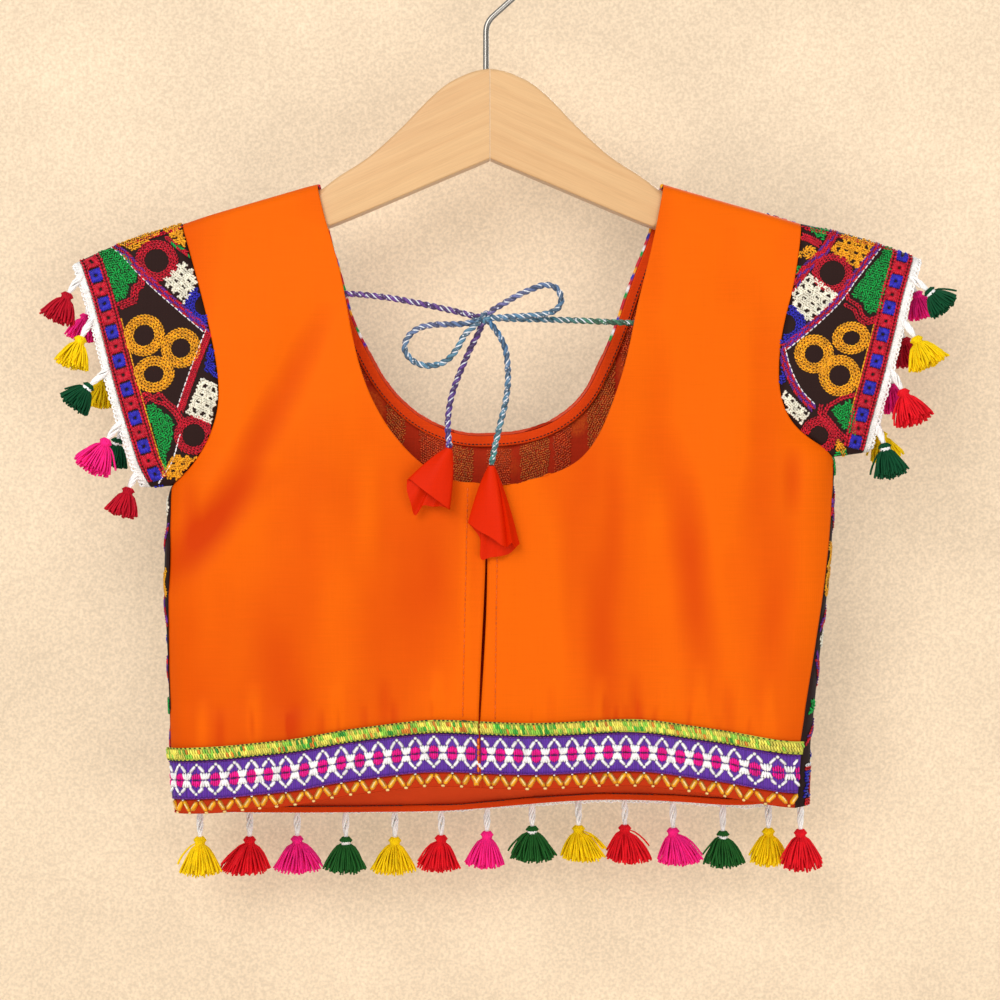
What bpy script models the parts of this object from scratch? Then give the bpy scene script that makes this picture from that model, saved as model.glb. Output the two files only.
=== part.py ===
"""A child's choli blouse hanging on a wooden hanger, seen from its open back.

The frame has +X to the viewer's right, +Y away from the viewer and +Z up.
Its origin is the underside of the hook's crown, where the hook hangs on a rail.
Tables are in millimetres; every mesh is built in metres.
"""

import math

import bmesh
import bpy
from mathutils import Matrix, Vector

MM = 0.001

# Cloth thicknesses and clearances
ORANGE_CLOTH = 1.2
EMBROIDERED_CLOTH = 1.6
LINING_CLOTH = 1.0
SEAM_GAP = 0.3
LAYER_GAP = 0.35

# Wooden hanger and its wire hook
HANGER_THICKNESS = 12.0
HANGER_EDGE_RADIUS = 5.0
HOOK_WIRE_RADIUS = 1.45
HOOK_RADIUS = 21.5
HOOK_STEM_X = -2.0
HOOK_SLOPE_DEG = 42.0
HOOK_HOLE_DEPTH = 14.0

# Heights of the hanger arm's upper and lower edges at each distance from its middle
HANGER_ARM = [
    # out, top, bottom
    (0.0, -74.5, -119.5),
    (7.0, -75.6, -122.5),
    (14.0, -78.2, -125.4),
    (22.0, -82.6, -128.8),
    (31.0, -90.4, -132.6),
    (45.0, -104.8, -138.6),
    (60.0, -118.2, -145.0),
    (75.0, -128.0, -151.2),
    (86.0, -135.2, -155.4),
    (105.0, -140.2, -161.8),
    (125.0, -146.2, -167.4),
    (140.0, -150.8, -170.6),
    (146.0, -153.6, -170.4),
    (149.0, -158.4, -167.6),
]

# Depth of the hung body in front of and behind the hanger, by drop below the shoulder
BACK_DEPTH = [(0, 7.8), (26, 8.0), (70, 11.0), (120, 14.6), (200, 16.2), (320, 18.0)]
FRONT_DEPTH = [(0, 11.4), (26, 11.8), (70, 14.8), (124, 19.6), (200, 21.5), (320, 24.0)]
SHOULDER_ROUND = 6.0
CORNER_LENGTH = 32.0
YOKE_CORNER_DEG = 50.0

# Lower edges of the back and of the front, across the garment
BACK_HEM = [
    # x, z
    (-156.5, -445.5), (-128.5, -443.5), (-95.0, -440.0), (-71.5, -435.5), (-47.0, -432.5),
    (-29.0, -430.6), (-5.0, -431.5), (20.0, -432.5), (62.0, -430.5), (80.0, -431.0),
    (99.0, -433.5), (117.5, -436.2), (132.0, -439.0), (143.0, -441.0), (151.0, -442.0),
]
FRONT_HEM = [
    # x, z
    (-156.5, -445.5), (-146.0, -447.4), (-120.0, -448.5), (-66.0, -448.3), (-17.0, -447.5),
    (20.0, -444.0), (56.0, -441.8), (90.0, -442.4), (112.0, -444.0), (131.0, -445.0),
    (142.0, -444.6), (151.0, -442.0),
]
# Rows that run parallel to the hem: hem, turning, ribbon's lower and upper edge, braid's upper edge
HEM_ROWS = (0.0, 3.5, 7.3, 26.6, 33.2)

# Side seams from hem to armpit, with how far the front wraps round beyond each
SIDE_SEAM = {
    "left": [
        # z, x, wrap
        (-445.5, -156.5, 1.0), (-412.5, -159.0, 1.2), (-372.0, -160.2, 1.6),
        (-330.0, -160.2, 3.6), (-300.0, -159.4, 3.4), (-283.0, -159.0, 1.4),
    ],
    "right": [
        # z, x, wrap
        (-442.0, 151.0, 9.0), (-412.5, 153.5, 7.4), (-372.0, 160.0, 5.0),
        (-330.0, 166.2, 4.0), (-295.0, 169.8, 3.0), (-268.5, 171.0, 1.2),
    ],
}
SIDE_ROWS = {
    "left": (-393.0, -372.0, -350.0, -329.0, -311.0, -296.0, -283.0),
    "right": (-391.0, -368.0, -345.0, -323.0, -303.0, -285.0, -268.5),
}
# Armhole seams from armpit to shoulder tip, seen from the back
ARMHOLE = {
    "left": [
        # x, z
        (-159.0, -283.0), (-147.0, -270.6), (-140.0, -259.4), (-135.6, -247.0), (-134.5, -232.0),
        (-137.0, -214.6), (-141.0, -197.0), (-145.6, -179.4), (-150.0, -163.6), (-153.5, -151.4),
    ],
    "right": [
        # x, z
        (171.0, -268.5), (164.0, -262.4), (155.0, -255.8), (147.6, -246.8), (144.0, -234.4),
        (143.6, -219.6), (146.0, -202.0), (150.4, -184.6), (153.4, -167.0), (155.0, -151.4),
    ],
}
# Necklines from the middle up to the shoulder, seen from the back
BACK_NECK = {
    "left": [
        # x, z
        (-1.5, -283.0), (-17.0, -279.6), (-32.5, -272.2), (-46.0, -258.8), (-56.0, -243.6),
        (-63.0, -227.0), (-67.6, -209.6), (-71.0, -192.0), (-74.0, -177.0), (-78.0, -162.0),
        (-82.5, -147.0), (-86.0, -131.6),
    ],
    "right": [
        # x, z
        (-1.5, -283.0), (12.5, -281.2), (30.0, -276.6), (45.0, -268.6), (55.0, -254.6),
        (61.0, -239.6), (66.0, -224.6), (69.6, -209.6), (72.6, -194.6), (76.4, -179.6),
        (80.0, -164.6), (83.2, -149.6), (86.5, -131.6),
    ],
}
FRONT_NECK = {
    "left": [
        # x, z
        (0.0, -256.5), (-14.0, -256.0), (-29.5, -250.6), (-42.4, -241.8), (-53.4, -229.4),
        (-63.0, -212.4), (-70.0, -197.0), (-75.4, -177.0), (-81.0, -157.0), (-86.0, -131.6),
    ],
    "right": [
        # x, z
        (0.0, -256.5), (16.0, -255.0), (32.0, -249.4), (46.4, -237.6), (56.0, -220.0),
        (63.4, -202.4), (69.6, -184.0), (75.0, -170.0), (80.4, -155.6), (86.5, -131.6),
    ],
}
SLIT_X = [
    # z, x of the back opening
    (-431.5, -4.6), (-398.0, -5.6), (-372.0, -4.6), (-340.0, -3.0), (-310.0, -1.8), (-283.0, -1.5),
]
SLIT_OPENING = 1.1
UNDERLAP_WIDTH = 9.0
UNDERLAP_DEPTH = 1.7

# Shares of the armhole and of the necklines at which the rows above them lie
ARMHOLE_SHARES = (
    0, 0.07, 0.14, 0.22, 0.31, 0.40, 0.50, 0.59, 0.68, 0.76, 0.84, 0.90, 0.955, 0.98, 0.994, 1
)
BACK_NECK_SHARES = (
    0, 0.06, 0.12, 0.18, 0.25, 0.33, 0.42, 0.51, 0.60, 0.68, 0.76, 0.84, 0.90, 0.955, 0.98, 0.994, 1
)
CORNER_COLUMNS = 3
PLAIN_COLUMNS = {"back": 8, "front": 5}
RIBBON_ROW = 2
BRAID_ROW = 3
ORANGE_ROW = 4
BACK_NECK_ROW = 10
ARMPIT_ROW = 11

# Soft vertical folds of the orange back: where each starts and ends, its width and depth
BACK_FOLDS = [
    # x top, z top, x bottom, z bottom, half width, depth (+ is a trough)
    (-96.0, -205.0, -112.0, -330.0, 15.0, 2.6),
    (-52.0, -268.0, -28.0, -400.0, 17.0, 2.0),
    (-84.0, -262.0, -70.0, -405.0, 15.0, -1.6),
    (-128.0, -290.0, -134.0, -400.0, 12.0, 1.0),
    (94.0, -225.0, 76.0, -395.0, 16.0, 2.8),
    (118.0, -262.0, 104.0, -405.0, 14.0, -1.4),
    (40.0, -295.0, 34.0, -400.0, 16.0, -1.6),
]

# Sleeve hems from underarm to shoulder fold, seen from the back
SLEEVE_HEM = {
    "left": [
        # x, z
        (-169.0, -283.6), (-174.4, -272.0), (-178.4, -258.0), (-183.0, -242.0), (-187.6, -225.0),
        (-192.4, -206.0), (-197.4, -187.6), (-202.0, -174.0), (-205.0, -170.0),
    ],
    "right": [
        # x, z
        (186.0, -266.4), (188.6, -252.6), (192.6, -236.6), (196.6, -221.0), (200.8, -204.0),
        (204.6, -187.6), (208.4, -174.4), (210.8, -167.4),
    ],
}
ARMPIT_ROUND = 0.5
ARMPIT_POWER = 1.4
ARMHOLE_BULGE_BACK = 8.4
ARMHOLE_BULGE_FRONT = 19.0
ARMHOLE_BULGE_HANGER = 11.0
STEEPEST_SHARED_DIRECTION = 0.78
SLEEVE_BULGE_BACK = 13.0
SLEEVE_BULGE_FRONT = 17.0
SLEEVE_FOLD_ROUND = 9.0
SLEEVE_COLUMNS = 3
SLEEVE_CROWN = 1.6

# Trims
RIBBON_THICKNESS = 0.9
BRAID_THICKNESS = 1.9
FACING_WIDTH = 6.0
LACE_HEIGHT = 2.6
LACE_THICKNESS = 1.6
SLEEVE_LACE_WIDTH = 3.6

# Hem tassels: place, length of the white stem, length, half spread, lean of the skirt
HEM_TASSELS = [
    # x, stem, skirt, half spread, lean, colour
    (-147.0, 9.8, 21.5, 9.2, 0.2, "yellow"),
    (-122.6, 9.4, 21.0, 11.6, -2.6, "red"),
    (-98.4, 9.0, 20.4, 11.8, 0.4, "pink"),
    (-73.6, 9.6, 20.0, 9.6, -0.6, "green"),
    (-48.6, 10.0, 20.6, 10.2, -1.0, "yellow"),
    (-25.0, 9.4, 19.8, 9.4, -1.2, "red"),
    (-1.6, 9.0, 20.2, 8.0, -1.4, "pink"),
    (21.4, 8.4, 19.6, 10.6, 0.6, "green"),
    (45.0, 9.6, 20.0, 9.6, 2.4, "yellow"),
    (68.6, 9.6, 21.0, 10.6, 2.4, "red"),
    (93.2, 10.4, 20.4, 10.2, 3.6, "pink"),
    (118.6, 10.6, 20.0, 8.8, 0.6, "green"),
    (141.4, 9.6, 20.6, 7.6, 0.4, "yellow"),
    (156.2, 9.8, 22.6, 8.6, 0.6, "red"),
]
# Sleeve tassels: share of the hem from underarm to fold, face, stem, skirt, half spread, lean out and down
SLEEVE_TASSELS = {
    "left": [
        # share, face, stem, skirt, half spread, lean x, lean y, colour
        (0.90, "back", 8.0, 17.0, 7.0, -0.42, -0.10, "red"),
        (0.715, "back", 8.0, 18.0, 6.4, -0.34, -0.16, "yellow"),
        (0.50, "back", 8.0, 16.0, 6.6, -0.78, -0.20, "green"),
        (0.27, "back", 8.5, 20.0, 8.0, -0.50, -0.24, "pink"),
        (0.05, "back", 7.0, 16.0, 6.0, -0.30, -0.10, "red"),
        (0.84, "front", 8.0, 15.0, 6.0, -0.26, 0.12, "pink"),
        (0.55, "front", 8.0, 16.0, 6.4, -0.26, 0.16, "yellow"),
        (0.28, "front", 8.0, 16.0, 6.0, -0.30, 0.14, "green"),
    ],
    "right": [
        # share, face, stem, skirt, half spread, lean x, lean y, colour
        (0.86, "back", 7.0, 15.0, 5.6, 0.92, -0.16, "green"),
        (0.64, "back", 8.0, 18.0, 8.4, 0.46, -0.18, "yellow"),
        (0.38, "back", 9.0, 20.0, 8.4, 0.36, -0.20, "red"),
        (0.10, "back", 8.0, 19.0, 6.2, 0.22, -0.16, "green"),
        (0.90, "front", 8.0, 15.0, 6.0, 0.42, 0.10, "pink"),
        (0.66, "front", 8.0, 16.0, 6.0, 0.36, 0.14, "red"),
        (0.42, "front", 8.0, 16.0, 6.4, 0.32, 0.16, "pink"),
        (0.16, "front", 8.0, 16.0, 6.0, 0.26, 0.14, "yellow"),
    ],
}
STRANDS = 6
STRAND_WIDTHS = [
    # share of the length, width beside the row before
    (0.5, 1.55),
    (1.0, 1.1),
]
STRAND_SPREAD = 0.78
STEM_RADIUS = 1.3
STEM_TURN = 2.2
HEAD_RADIUS = 2.5
HEAD_LENGTH = 4.2

# Drawstring tied in a bow across the open back
DORI_RADIUS = 1.4
DORI_BEVEL_STEPS = 2
BOW_KNOT = (-2.2, -16.6, -199.6)
BOW_KNOT_SIZE = (4.6, 3.4, 4.4)
DORI_ROUTES = {
    "dori_left": [
        # x, y, z
        (-76.5, -6.4, -186.8), (-71.0, -6.5, -187.0), (-65.0, -8.6, -187.4), (-50.0, -12.0, -189.4),
        (-37.6, -13.8, -191.8), (-23.0, -15.2, -195.0), (-13.0, -16.0, -197.4), (-7.4, -16.4, -198.9),
    ],
    "dori_right": [
        # x, y, z
        (75.0, -7.6, -201.7), (70.0, -8.2, -201.6), (60.0, -11.0, -201.4), (45.0, -12.6, -200.8),
        (30.0, -14.2, -200.4), (16.0, -15.4, -200.2), (8.0, -16.2, -200.1), (3.2, -16.6, -199.9),
    ],
    "bow_left": [
        # x, y, z
        (-7.6, -18.0, -201.4), (-13.0, -18.6, -202.8), (-21.0, -18.4, -203.0), (-29.0, -18.0, -203.4),
        (-36.0, -17.6, -205.4), (-41.0, -17.2, -210.4), (-41.6, -17.2, -216.4), (-36.6, -17.6, -221.8),
        (-29.0, -18.2, -223.4), (-21.4, -19.4, -221.0), (-16.0, -20.6, -215.0), (-12.4, -21.2, -208.6),
        (-7.6, -20.2, -204.0),
    ],
    "bow_right": [
        # x, y, z
        (2.0, -18.4, -195.6), (6.6, -18.8, -193.0), (12.6, -18.6, -189.4), (19.4, -18.2, -186.2),
        (27.0, -17.8, -183.6), (32.8, -17.6, -185.2), (35.2, -17.8, -190.4), (33.2, -18.4, -195.4),
        (27.4, -19.4, -198.0), (19.0, -20.2, -199.0), (10.6, -20.6, -199.4), (4.0, -19.8, -199.8),
    ],
    "tail_left": [
        # x, y, z
        (-4.15, -17.65, -204.0), (-6.4, -18.0, -209.0), (-9.6, -18.0, -215.0), (-13.4, -18.0, -223.6),
        (-16.8, -18.2, -232.0), (-19.4, -18.6, -241.0), (-20.6, -19.2, -250.6), (-20.4, -20.2, -258.0),
        (-19.9, -21.4, -263.6),
    ],
    "tail_right": [
        # x, y, z
        (0.9, -17.6, -203.2), (4.6, -18.2, -208.4), (7.6, -18.4, -215.0), (8.8, -18.4, -224.0),
        (8.8, -18.6, -233.4), (7.4, -18.8, -243.0), (5.0, -19.4, -252.6), (2.8, -20.4, -262.0),
        (0.8, -21.8, -272.0),
    ],
}
ROUTE_SAMPLES = {
    "dori_left": 10, "dori_right": 10, "bow_left": 20, "bow_right": 16, "tail_left": 10, "tail_right": 11,
}
# Folded cloth cones on the drawstring's ends: rings from the tied top to the open hem
LATKANS = {
    "latkan_left": {
        "top": (-19.9, -22.2, -264.4),
        "rings": [
            # drop, shift x, half width, half depth, flute
            (0.0, 0.0, 1.9, 1.9, 0.0),
            (5.0, -1.4, 3.6, 2.6, 0.10),
            (14.0, -6.0, 8.0, 3.6, 0.14),
            (22.0, -9.4, 10.6, 4.2, 0.16),
            (30.0, -10.2, 10.2, 4.2, 0.20),
        ],
        "flutes": 3,
    },
    "latkan_right": {
        "top": (0.6, -22.6, -272.8),
        "rings": [
            # drop, shift x, half width, half depth, flute
            (0.0, 0.0, 1.9, 1.9, 0.0),
            (7.0, 0.2, 3.8, 2.6, 0.12),
            (20.0, 1.0, 9.0, 3.4, 0.16),
            (32.0, 1.8, 11.0, 3.8, 0.20),
            (44.0, 2.4, 8.6, 4.0, 0.24),
        ],
        "flutes": 4,
    },
}
LATKAN_CLOTH = 1.0
LATKAN_SIDES = 16

COLOURS = {
    "orange_cloth": (0.98, 0.17, 0.006, 0.62),
    "rust_cloth": (0.42, 0.055, 0.012, 0.7),
    "lining_cloth": (0.36, 0.05, 0.012, 0.7),
    "embroidered_cloth": (0.12, 0.025, 0.02, 0.7),
    "purple_ribbon": (0.13, 0.035, 0.35, 0.6),
    "lime_braid": (0.62, 0.66, 0.10, 0.5),
    "white_lace": (0.85, 0.83, 0.80, 0.8),
    "yellow": (0.95, 0.50, 0.01, 0.7),
    "red": (0.55, 0.01, 0.02, 0.7),
    "pink": (0.80, 0.02, 0.20, 0.7),
    "green": (0.01, 0.12, 0.03, 0.7),
    "twisted_cord": (0.16, 0.12, 0.38, 0.4),
    "latkan_cloth": (0.95, 0.08, 0.006, 0.55),
    "wood": (0.78, 0.49, 0.24, 0.45),
    "steel": (0.60, 0.58, 0.55, 0.3),
}


# Small maths helpers

def point(x, y, z):
    """A place given in millimetres, as a vector in metres."""
    return Vector((x * MM, y * MM, z * MM))


def blend(a, b, share):
    return a + (b - a) * share


def smooth(share):
    share = min(1.0, max(0.0, share))
    return share * share * (3 - 2 * share)


def rounded(distance, length):
    """A quarter round: 0 at no distance, 1 from the given length on."""
    inside = 1 - min(1.0, max(0.0, distance / length))
    return math.sqrt(1 - inside * inside)


def looked_up(table, at, column=1):
    """A column of a table whose first column rises or falls, read between its rows."""
    rows = sorted(table)
    if at <= rows[0][0]:
        return rows[0][column]
    for low, high in zip(rows, rows[1:]):
        if at <= high[0]:
            return blend(low[column], high[column], smooth_share(low[0], high[0], at))
    return rows[-1][column]


def smooth_share(low, high, at):
    return (at - low) / (high - low)


def spline(points, share):
    """A point on the smooth curve through the points, by share of their summed spacing."""
    points = [Vector(p) for p in points]
    steps = [(b - a).length for a, b in zip(points, points[1:])]
    goal = share * sum(steps)
    i = 0
    while i < len(steps) - 1 and goal > steps[i]:
        goal -= steps[i]
        i += 1
    t = min(1.0, goal / steps[i])
    before = points[i - 1] if i else 2 * points[0] - points[1]
    after = points[i + 2] if i + 2 < len(points) else 2 * points[-1] - points[-2]
    a, b = points[i], points[i + 1]
    return 0.5 * (
        2 * a + (b - before) * t
        + (2 * before - 5 * a + 4 * b - after) * t * t
        + (3 * a - before - 3 * b + after) * t ** 3
    )


# Materials and mesh helpers

def material(name):
    """A plain Principled material from the table of colours."""
    made = bpy.data.materials.get(name)
    if made is None:
        red, green, blue, roughness = COLOURS[name]
        made = bpy.data.materials.new(name)
        made.use_nodes = True
        shader = made.node_tree.nodes["Principled BSDF"]
        shader.inputs["Base Color"].default_value = (red, green, blue, 1)
        shader.inputs["Roughness"].default_value = roughness
        shader.inputs["Metallic"].default_value = 1.0 if name == "steel" else 0.0
        made.diffuse_color = (red, green, blue, 1)
    return made


def add_object(name, mesh, colour):
    mesh.materials.append(material(colour))
    made = bpy.data.objects.new(name, mesh)
    bpy.context.scene.collection.objects.link(made)
    return made


def finish_mesh(name, work, colour):
    """Turns a bmesh into a named object with its faces pointing out."""
    bmesh.ops.recalc_face_normals(work, faces=work.faces[:])
    mesh = bpy.data.meshes.new(name)
    work.to_mesh(mesh)
    work.free()
    mesh.shade_smooth()
    mesh.set_sharp_from_angle(angle=math.radians(40))
    return add_object(name, mesh, colour)


def key(place):
    return tuple(round(v / MM, 3) for v in place)


def grid_quads(rows, closed=False):
    """The four-cornered patches between neighbouring rows of points."""
    quads = []
    for low, high in zip(rows, rows[1:]):
        last = len(low) if closed else len(low) - 1
        for i in range(last):
            j = (i + 1) % len(low)
            quads.append((low[i], low[j], high[j], high[i]))
    return quads


def surface_mesh(quads):
    """One skin of triangles from patches, welded where their corners agree.

    Each patch is split along its shorter diagonal, so layers made from the same points stay parallel.
    """
    work = bmesh.new()
    made = {}
    for quad in quads:
        corners = []
        for place in quad:
            k = key(place)
            if k not in made:
                made[k] = work.verts.new(place)
            if made[k] not in corners:
                corners.append(made[k])
        if len(corners) == 3:
            work.faces.new(corners)
        elif len(corners) == 4:
            a, b, c, d = corners
            if (a.co - c.co).length > (b.co - d.co).length:
                a, b, c, d = b, c, d, a
            work.faces.new((a, b, c))
            work.faces.new((a, c, d))
    return work


def inward_across(edge):
    """The direction from a free edge into its own face, square to the edge."""
    start, end = (v.co for v in edge.verts)
    along = (end - start).normalized()
    centre = edge.link_faces[0].calc_center_median() - start
    return (centre - along * centre.dot(along)).normalized()


def cloth_wall(name, quads, outward, thickness, colour, lift=0.0, steep=None):
    """A closed cloth wall: an outer skin, an inner one moved in along the outward directions, and rims.

    The free edges are drawn in by half the seam gap, so neighbours stay apart. Where the outward
    direction leans far from the skin's own, as in the armpit, steep gives the direction instead.
    """
    skin = surface_mesh(quads)
    bmesh.ops.recalc_face_normals(skin, faces=skin.faces[:])
    skin.normal_update()
    facing_out = math.copysign(1, sum(v.normal.dot(outward(v.co)) for v in skin.verts))
    work = bmesh.new()
    outer, inner = {}, {}
    for vertex in skin.verts:
        inset = Vector()
        for edge in vertex.link_edges:
            if edge.is_boundary:
                inset += inward_across(edge)
        if inset.length > 0:
            inset = inset.normalized() * (SEAM_GAP / 2 * MM)
        direction = outward(vertex.co)
        own = vertex.normal * facing_out
        if direction.dot(own) < STEEPEST_SHARED_DIRECTION * direction.length ** 2:
            direction = steep(vertex.co) if steep else own
        place = vertex.co + inset + direction * (lift * MM)
        outer[vertex] = work.verts.new(place)
        inner[vertex] = work.verts.new(place - direction * (thickness * MM))
    for face in skin.faces:
        work.faces.new([outer[v] for v in face.verts])
        work.faces.new([inner[v] for v in reversed(face.verts)])
    for edge in skin.edges:
        if edge.is_boundary:
            a, b = edge.verts
            work.faces.new([outer[a], outer[b], inner[b], inner[a]])
    skin.free()
    return finish_mesh(name, work, colour)


# The body's shape

def shoulder_height(x):
    """Height of the shoulder line over a place across the garment."""
    neck_x, neck_z = BACK_NECK["right"][-1]
    tip_x, tip_z = ARMHOLE["right"][-1]
    return blend(neck_z, tip_z, min(1.15, max(0.0, (abs(x) - neck_x) / (tip_x - neck_x))))


def fold_depth(x, z):
    """How far the soft folds of the back move its cloth in."""
    total = 0.0
    for x_top, z_top, x_low, z_low, width, depth in BACK_FOLDS:
        along = (z_top - z) / (z_top - z_low)
        centre = blend(x_top, x_low, along)
        fade = smooth((along + 0.25) / 0.5) * smooth((1.25 - along) / 0.5)
        total += depth * fade * math.exp(-(((x - centre) / width) ** 2))
    return total


def plain_depth(face, x, z):
    """Depth of the cloth away from its edges: it lies over the hanger and hangs down from it."""
    drop = shoulder_height(x) - z
    table = BACK_DEPTH if face == "back" else FRONT_DEPTH
    depth = looked_up(table, drop) * rounded(drop, SHOULDER_ROUND)
    if face == "back":
        return -(depth - fold_depth(x, z))
    return depth


def side_turn(side, z):
    """Angle, out of a right angle, at which the side seam lies in front of the widest line."""
    wrap = looked_up(SIDE_SEAM[side], z, 2)
    return math.acos(1 - wrap / CORNER_LENGTH)


def seam_depth(side, z):
    x = looked_up(SIDE_SEAM[side], z, 1)
    return plain_depth("back", x, z) * math.sin(side_turn(side, z))


def armhole_depth(side, face, share):
    """Depth of the armhole seam at a share of the way from armpit to shoulder tip."""
    armpit_z = ARMHOLE[side][0][1]
    place = spline([(x, z, 0) for x, z in ARMHOLE[side]], share)
    drop = ARMHOLE[side][-1][1] - place.y
    closing = rounded(drop, SHOULDER_ROUND) * rounded(share, ARMPIT_ROUND) ** ARMPIT_POWER
    lean = blend(seam_depth(side, armpit_z), 0.0, share)
    if face == "back":
        return lean - ARMHOLE_BULGE_BACK * closing
    bulge = blend(ARMHOLE_BULGE_FRONT, ARMHOLE_BULGE_HANGER, smooth((share - 0.45) / 0.4))
    return lean + bulge * closing


def outer_edge(side, face):
    """The side seam and armhole from hem to shoulder tip: place, start angle of the rounded side."""
    hem = BACK_HEM if side == "left" else BACK_HEM[::-1]
    hem_z = hem[0][1]
    sign = 1 if face == "back" else -1
    edge = []
    heights = [hem_z + rise for rise in HEM_ROWS] + list(SIDE_ROWS[side])
    for z in heights:
        x = looked_up(SIDE_SEAM[side], z, 1)
        edge.append((x, seam_depth(side, z), z, sign * side_turn(side, z)))
    armpit_angle = edge[-1][3]
    for share in ARMHOLE_SHARES[1:]:
        place = spline([(x, z, 0) for x, z in ARMHOLE[side]], share)
        angle = blend(armpit_angle, math.radians(YOKE_CORNER_DEG), smooth(share / 0.35))
        edge.append((place.x, armhole_depth(side, face, share), place.y, angle))
    return edge


def slit_gap(z):
    """Gap of the back opening, widest at its middle height."""
    share = (z - SLIT_X[0][0]) / (SLIT_X[-1][0] - SLIT_X[0][0])
    return SEAM_GAP + SLIT_OPENING * math.sin(math.pi * min(1.0, max(0.0, share))) ** 2


def inner_edge(side, face):
    """The middle line and the neckline from hem to shoulder: places across and up."""
    hem = BACK_HEM if face == "back" else FRONT_HEM
    middle = SLIT_X[0][1] if face == "back" else 0.0
    neck = (BACK_NECK if face == "back" else FRONT_NECK)[side]
    top_row = BACK_NECK_ROW if face == "back" else ARMPIT_ROW
    hem_z = looked_up(hem, middle)
    heights = [hem_z + rise for rise in HEM_ROWS]
    free = top_row - len(HEM_ROWS) + 1
    heights += [blend(heights[-1], neck[0][1], (i + 1) / free) for i in range(free)]
    edge = []
    for z in heights:
        x = looked_up(SLIT_X, z) if face == "back" else 0.0
        if face == "back" and side == "right":
            x += slit_gap(z)
        edge.append((x, z))
    shares = BACK_NECK_SHARES if face == "back" else ARMHOLE_SHARES
    for share in shares[1:]:
        place = spline([(x, z, 0) for x, z in neck], share)
        edge.append((place.x, place.y))
    return edge


def hem_line(face, x):
    return looked_up(BACK_HEM if face == "back" else FRONT_HEM, x)


def half_panel(side, face):
    """Rows of outer points of one half of the back or front, each from its outer to its inner edge."""
    inwards = 1 if side == "left" else -1
    rows = []
    edges = zip(outer_edge(side, face), inner_edge(side, face))
    for number, ((x0, y0, z0, angle), (x1, z1)) in enumerate(edges):
        corner_x = x0 + inwards * CORNER_LENGTH * math.cos(angle)
        row = []
        for i in range(CORNER_COLUMNS + PLAIN_COLUMNS[face] + 1):
            if i <= CORNER_COLUMNS:
                turn = blend(angle, math.pi / 2, i / CORNER_COLUMNS)
                x = x0 + inwards * CORNER_LENGTH * (math.cos(angle) - math.cos(turn))
                gain = (math.sin(turn) - math.sin(angle)) / (1 - math.sin(angle))
            else:
                x = blend(corner_x, x1, (i - CORNER_COLUMNS) / PLAIN_COLUMNS[face])
                gain = 1.0
            share = max(0.0, (x - x0) / (x1 - x0))
            z = blend(z0, z1, share)
            if number < ARMPIT_ROW:
                low = hem_line(face, x) + (z0 - outer_edge_hem(side))
                straight = blend(outer_edge_hem(side), hem_line(face, x1), share)
                keep = 1 - smooth((number - len(HEM_ROWS) + 1) / (ARMPIT_ROW - len(HEM_ROWS)))
                z += (low - z0 + outer_edge_hem(side) - straight) * keep * (share > 0)
            y = blend(y0, plain_depth(face, x, z), gain)
            row.append(point(x, y, z))
        rows.append(row)
    return rows


def outer_edge_hem(side):
    return (BACK_HEM[0] if side == "left" else BACK_HEM[-1])[1]


def underlap(rows):
    """The strip of the left back that steps in and runs on under the right back's edge."""
    strip = []
    for row in rows[RIBBON_ROW:BACK_NECK_ROW + 1]:
        edge = row[-1]
        strip.append([
            edge,
            edge + point(0, UNDERLAP_DEPTH, 0),
            edge + point(UNDERLAP_WIDTH, UNDERLAP_DEPTH, 0),
        ])
    return strip


def sleeve_rows(side):
    """Rings of outer points of a sleeve, each row running from armhole seam to hem."""
    names = [("back", share) for share in ARMHOLE_SHARES]
    names += [("front", share) for share in reversed(ARMHOLE_SHARES[1:-1])]
    fold = SLEEVE_HEM[side][-1]
    ring = []
    for face, share in names:
        seam = spline([(x, z, 0) for x, z in ARMHOLE[side]], share)
        seam_y = armhole_depth(side, face, share)
        hem = spline([(x, z, 0) for x, z in SLEEVE_HEM[side]], share)
        closing = rounded(fold[1] - hem.y, SLEEVE_FOLD_ROUND) * rounded(share, ARMPIT_ROUND) ** ARMPIT_POWER
        bulge = -SLEEVE_BULGE_BACK if face == "back" else SLEEVE_BULGE_FRONT
        hem_y = blend(-2.0, 1.0, share) + bulge * closing
        row = []
        for i in range(SLEEVE_COLUMNS + 1):
            along = i / SLEEVE_COLUMNS
            crown = SLEEVE_CROWN * math.sin(math.pi * along) * math.copysign(closing, bulge)
            lift = SLEEVE_CROWN * math.sin(math.pi * along) * smooth((share - 0.9) / 0.1)
            row.append(point(
                blend(seam.x, hem.x, along),
                blend(seam_y, hem_y, along) + crown,
                blend(seam.y, hem.y, along) + lift,
            ))
        ring.append(row)
    return ring + [ring[0]]


def welded_directions(panels):
    """The outward direction at each point of panels that are joined at their shared points."""
    quads = []
    for rows in panels:
        quads += grid_quads(rows)
    skin = surface_mesh(quads)
    bmesh.ops.recalc_face_normals(skin, faces=skin.faces[:])
    skin.normal_update()
    farthest = max(skin.verts, key=lambda v: v.co.y)
    facing_out = math.copysign(1, farthest.normal.y)
    directions = {key(v.co): v.normal * facing_out for v in skin.verts}
    skin.free()
    return directions


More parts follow.
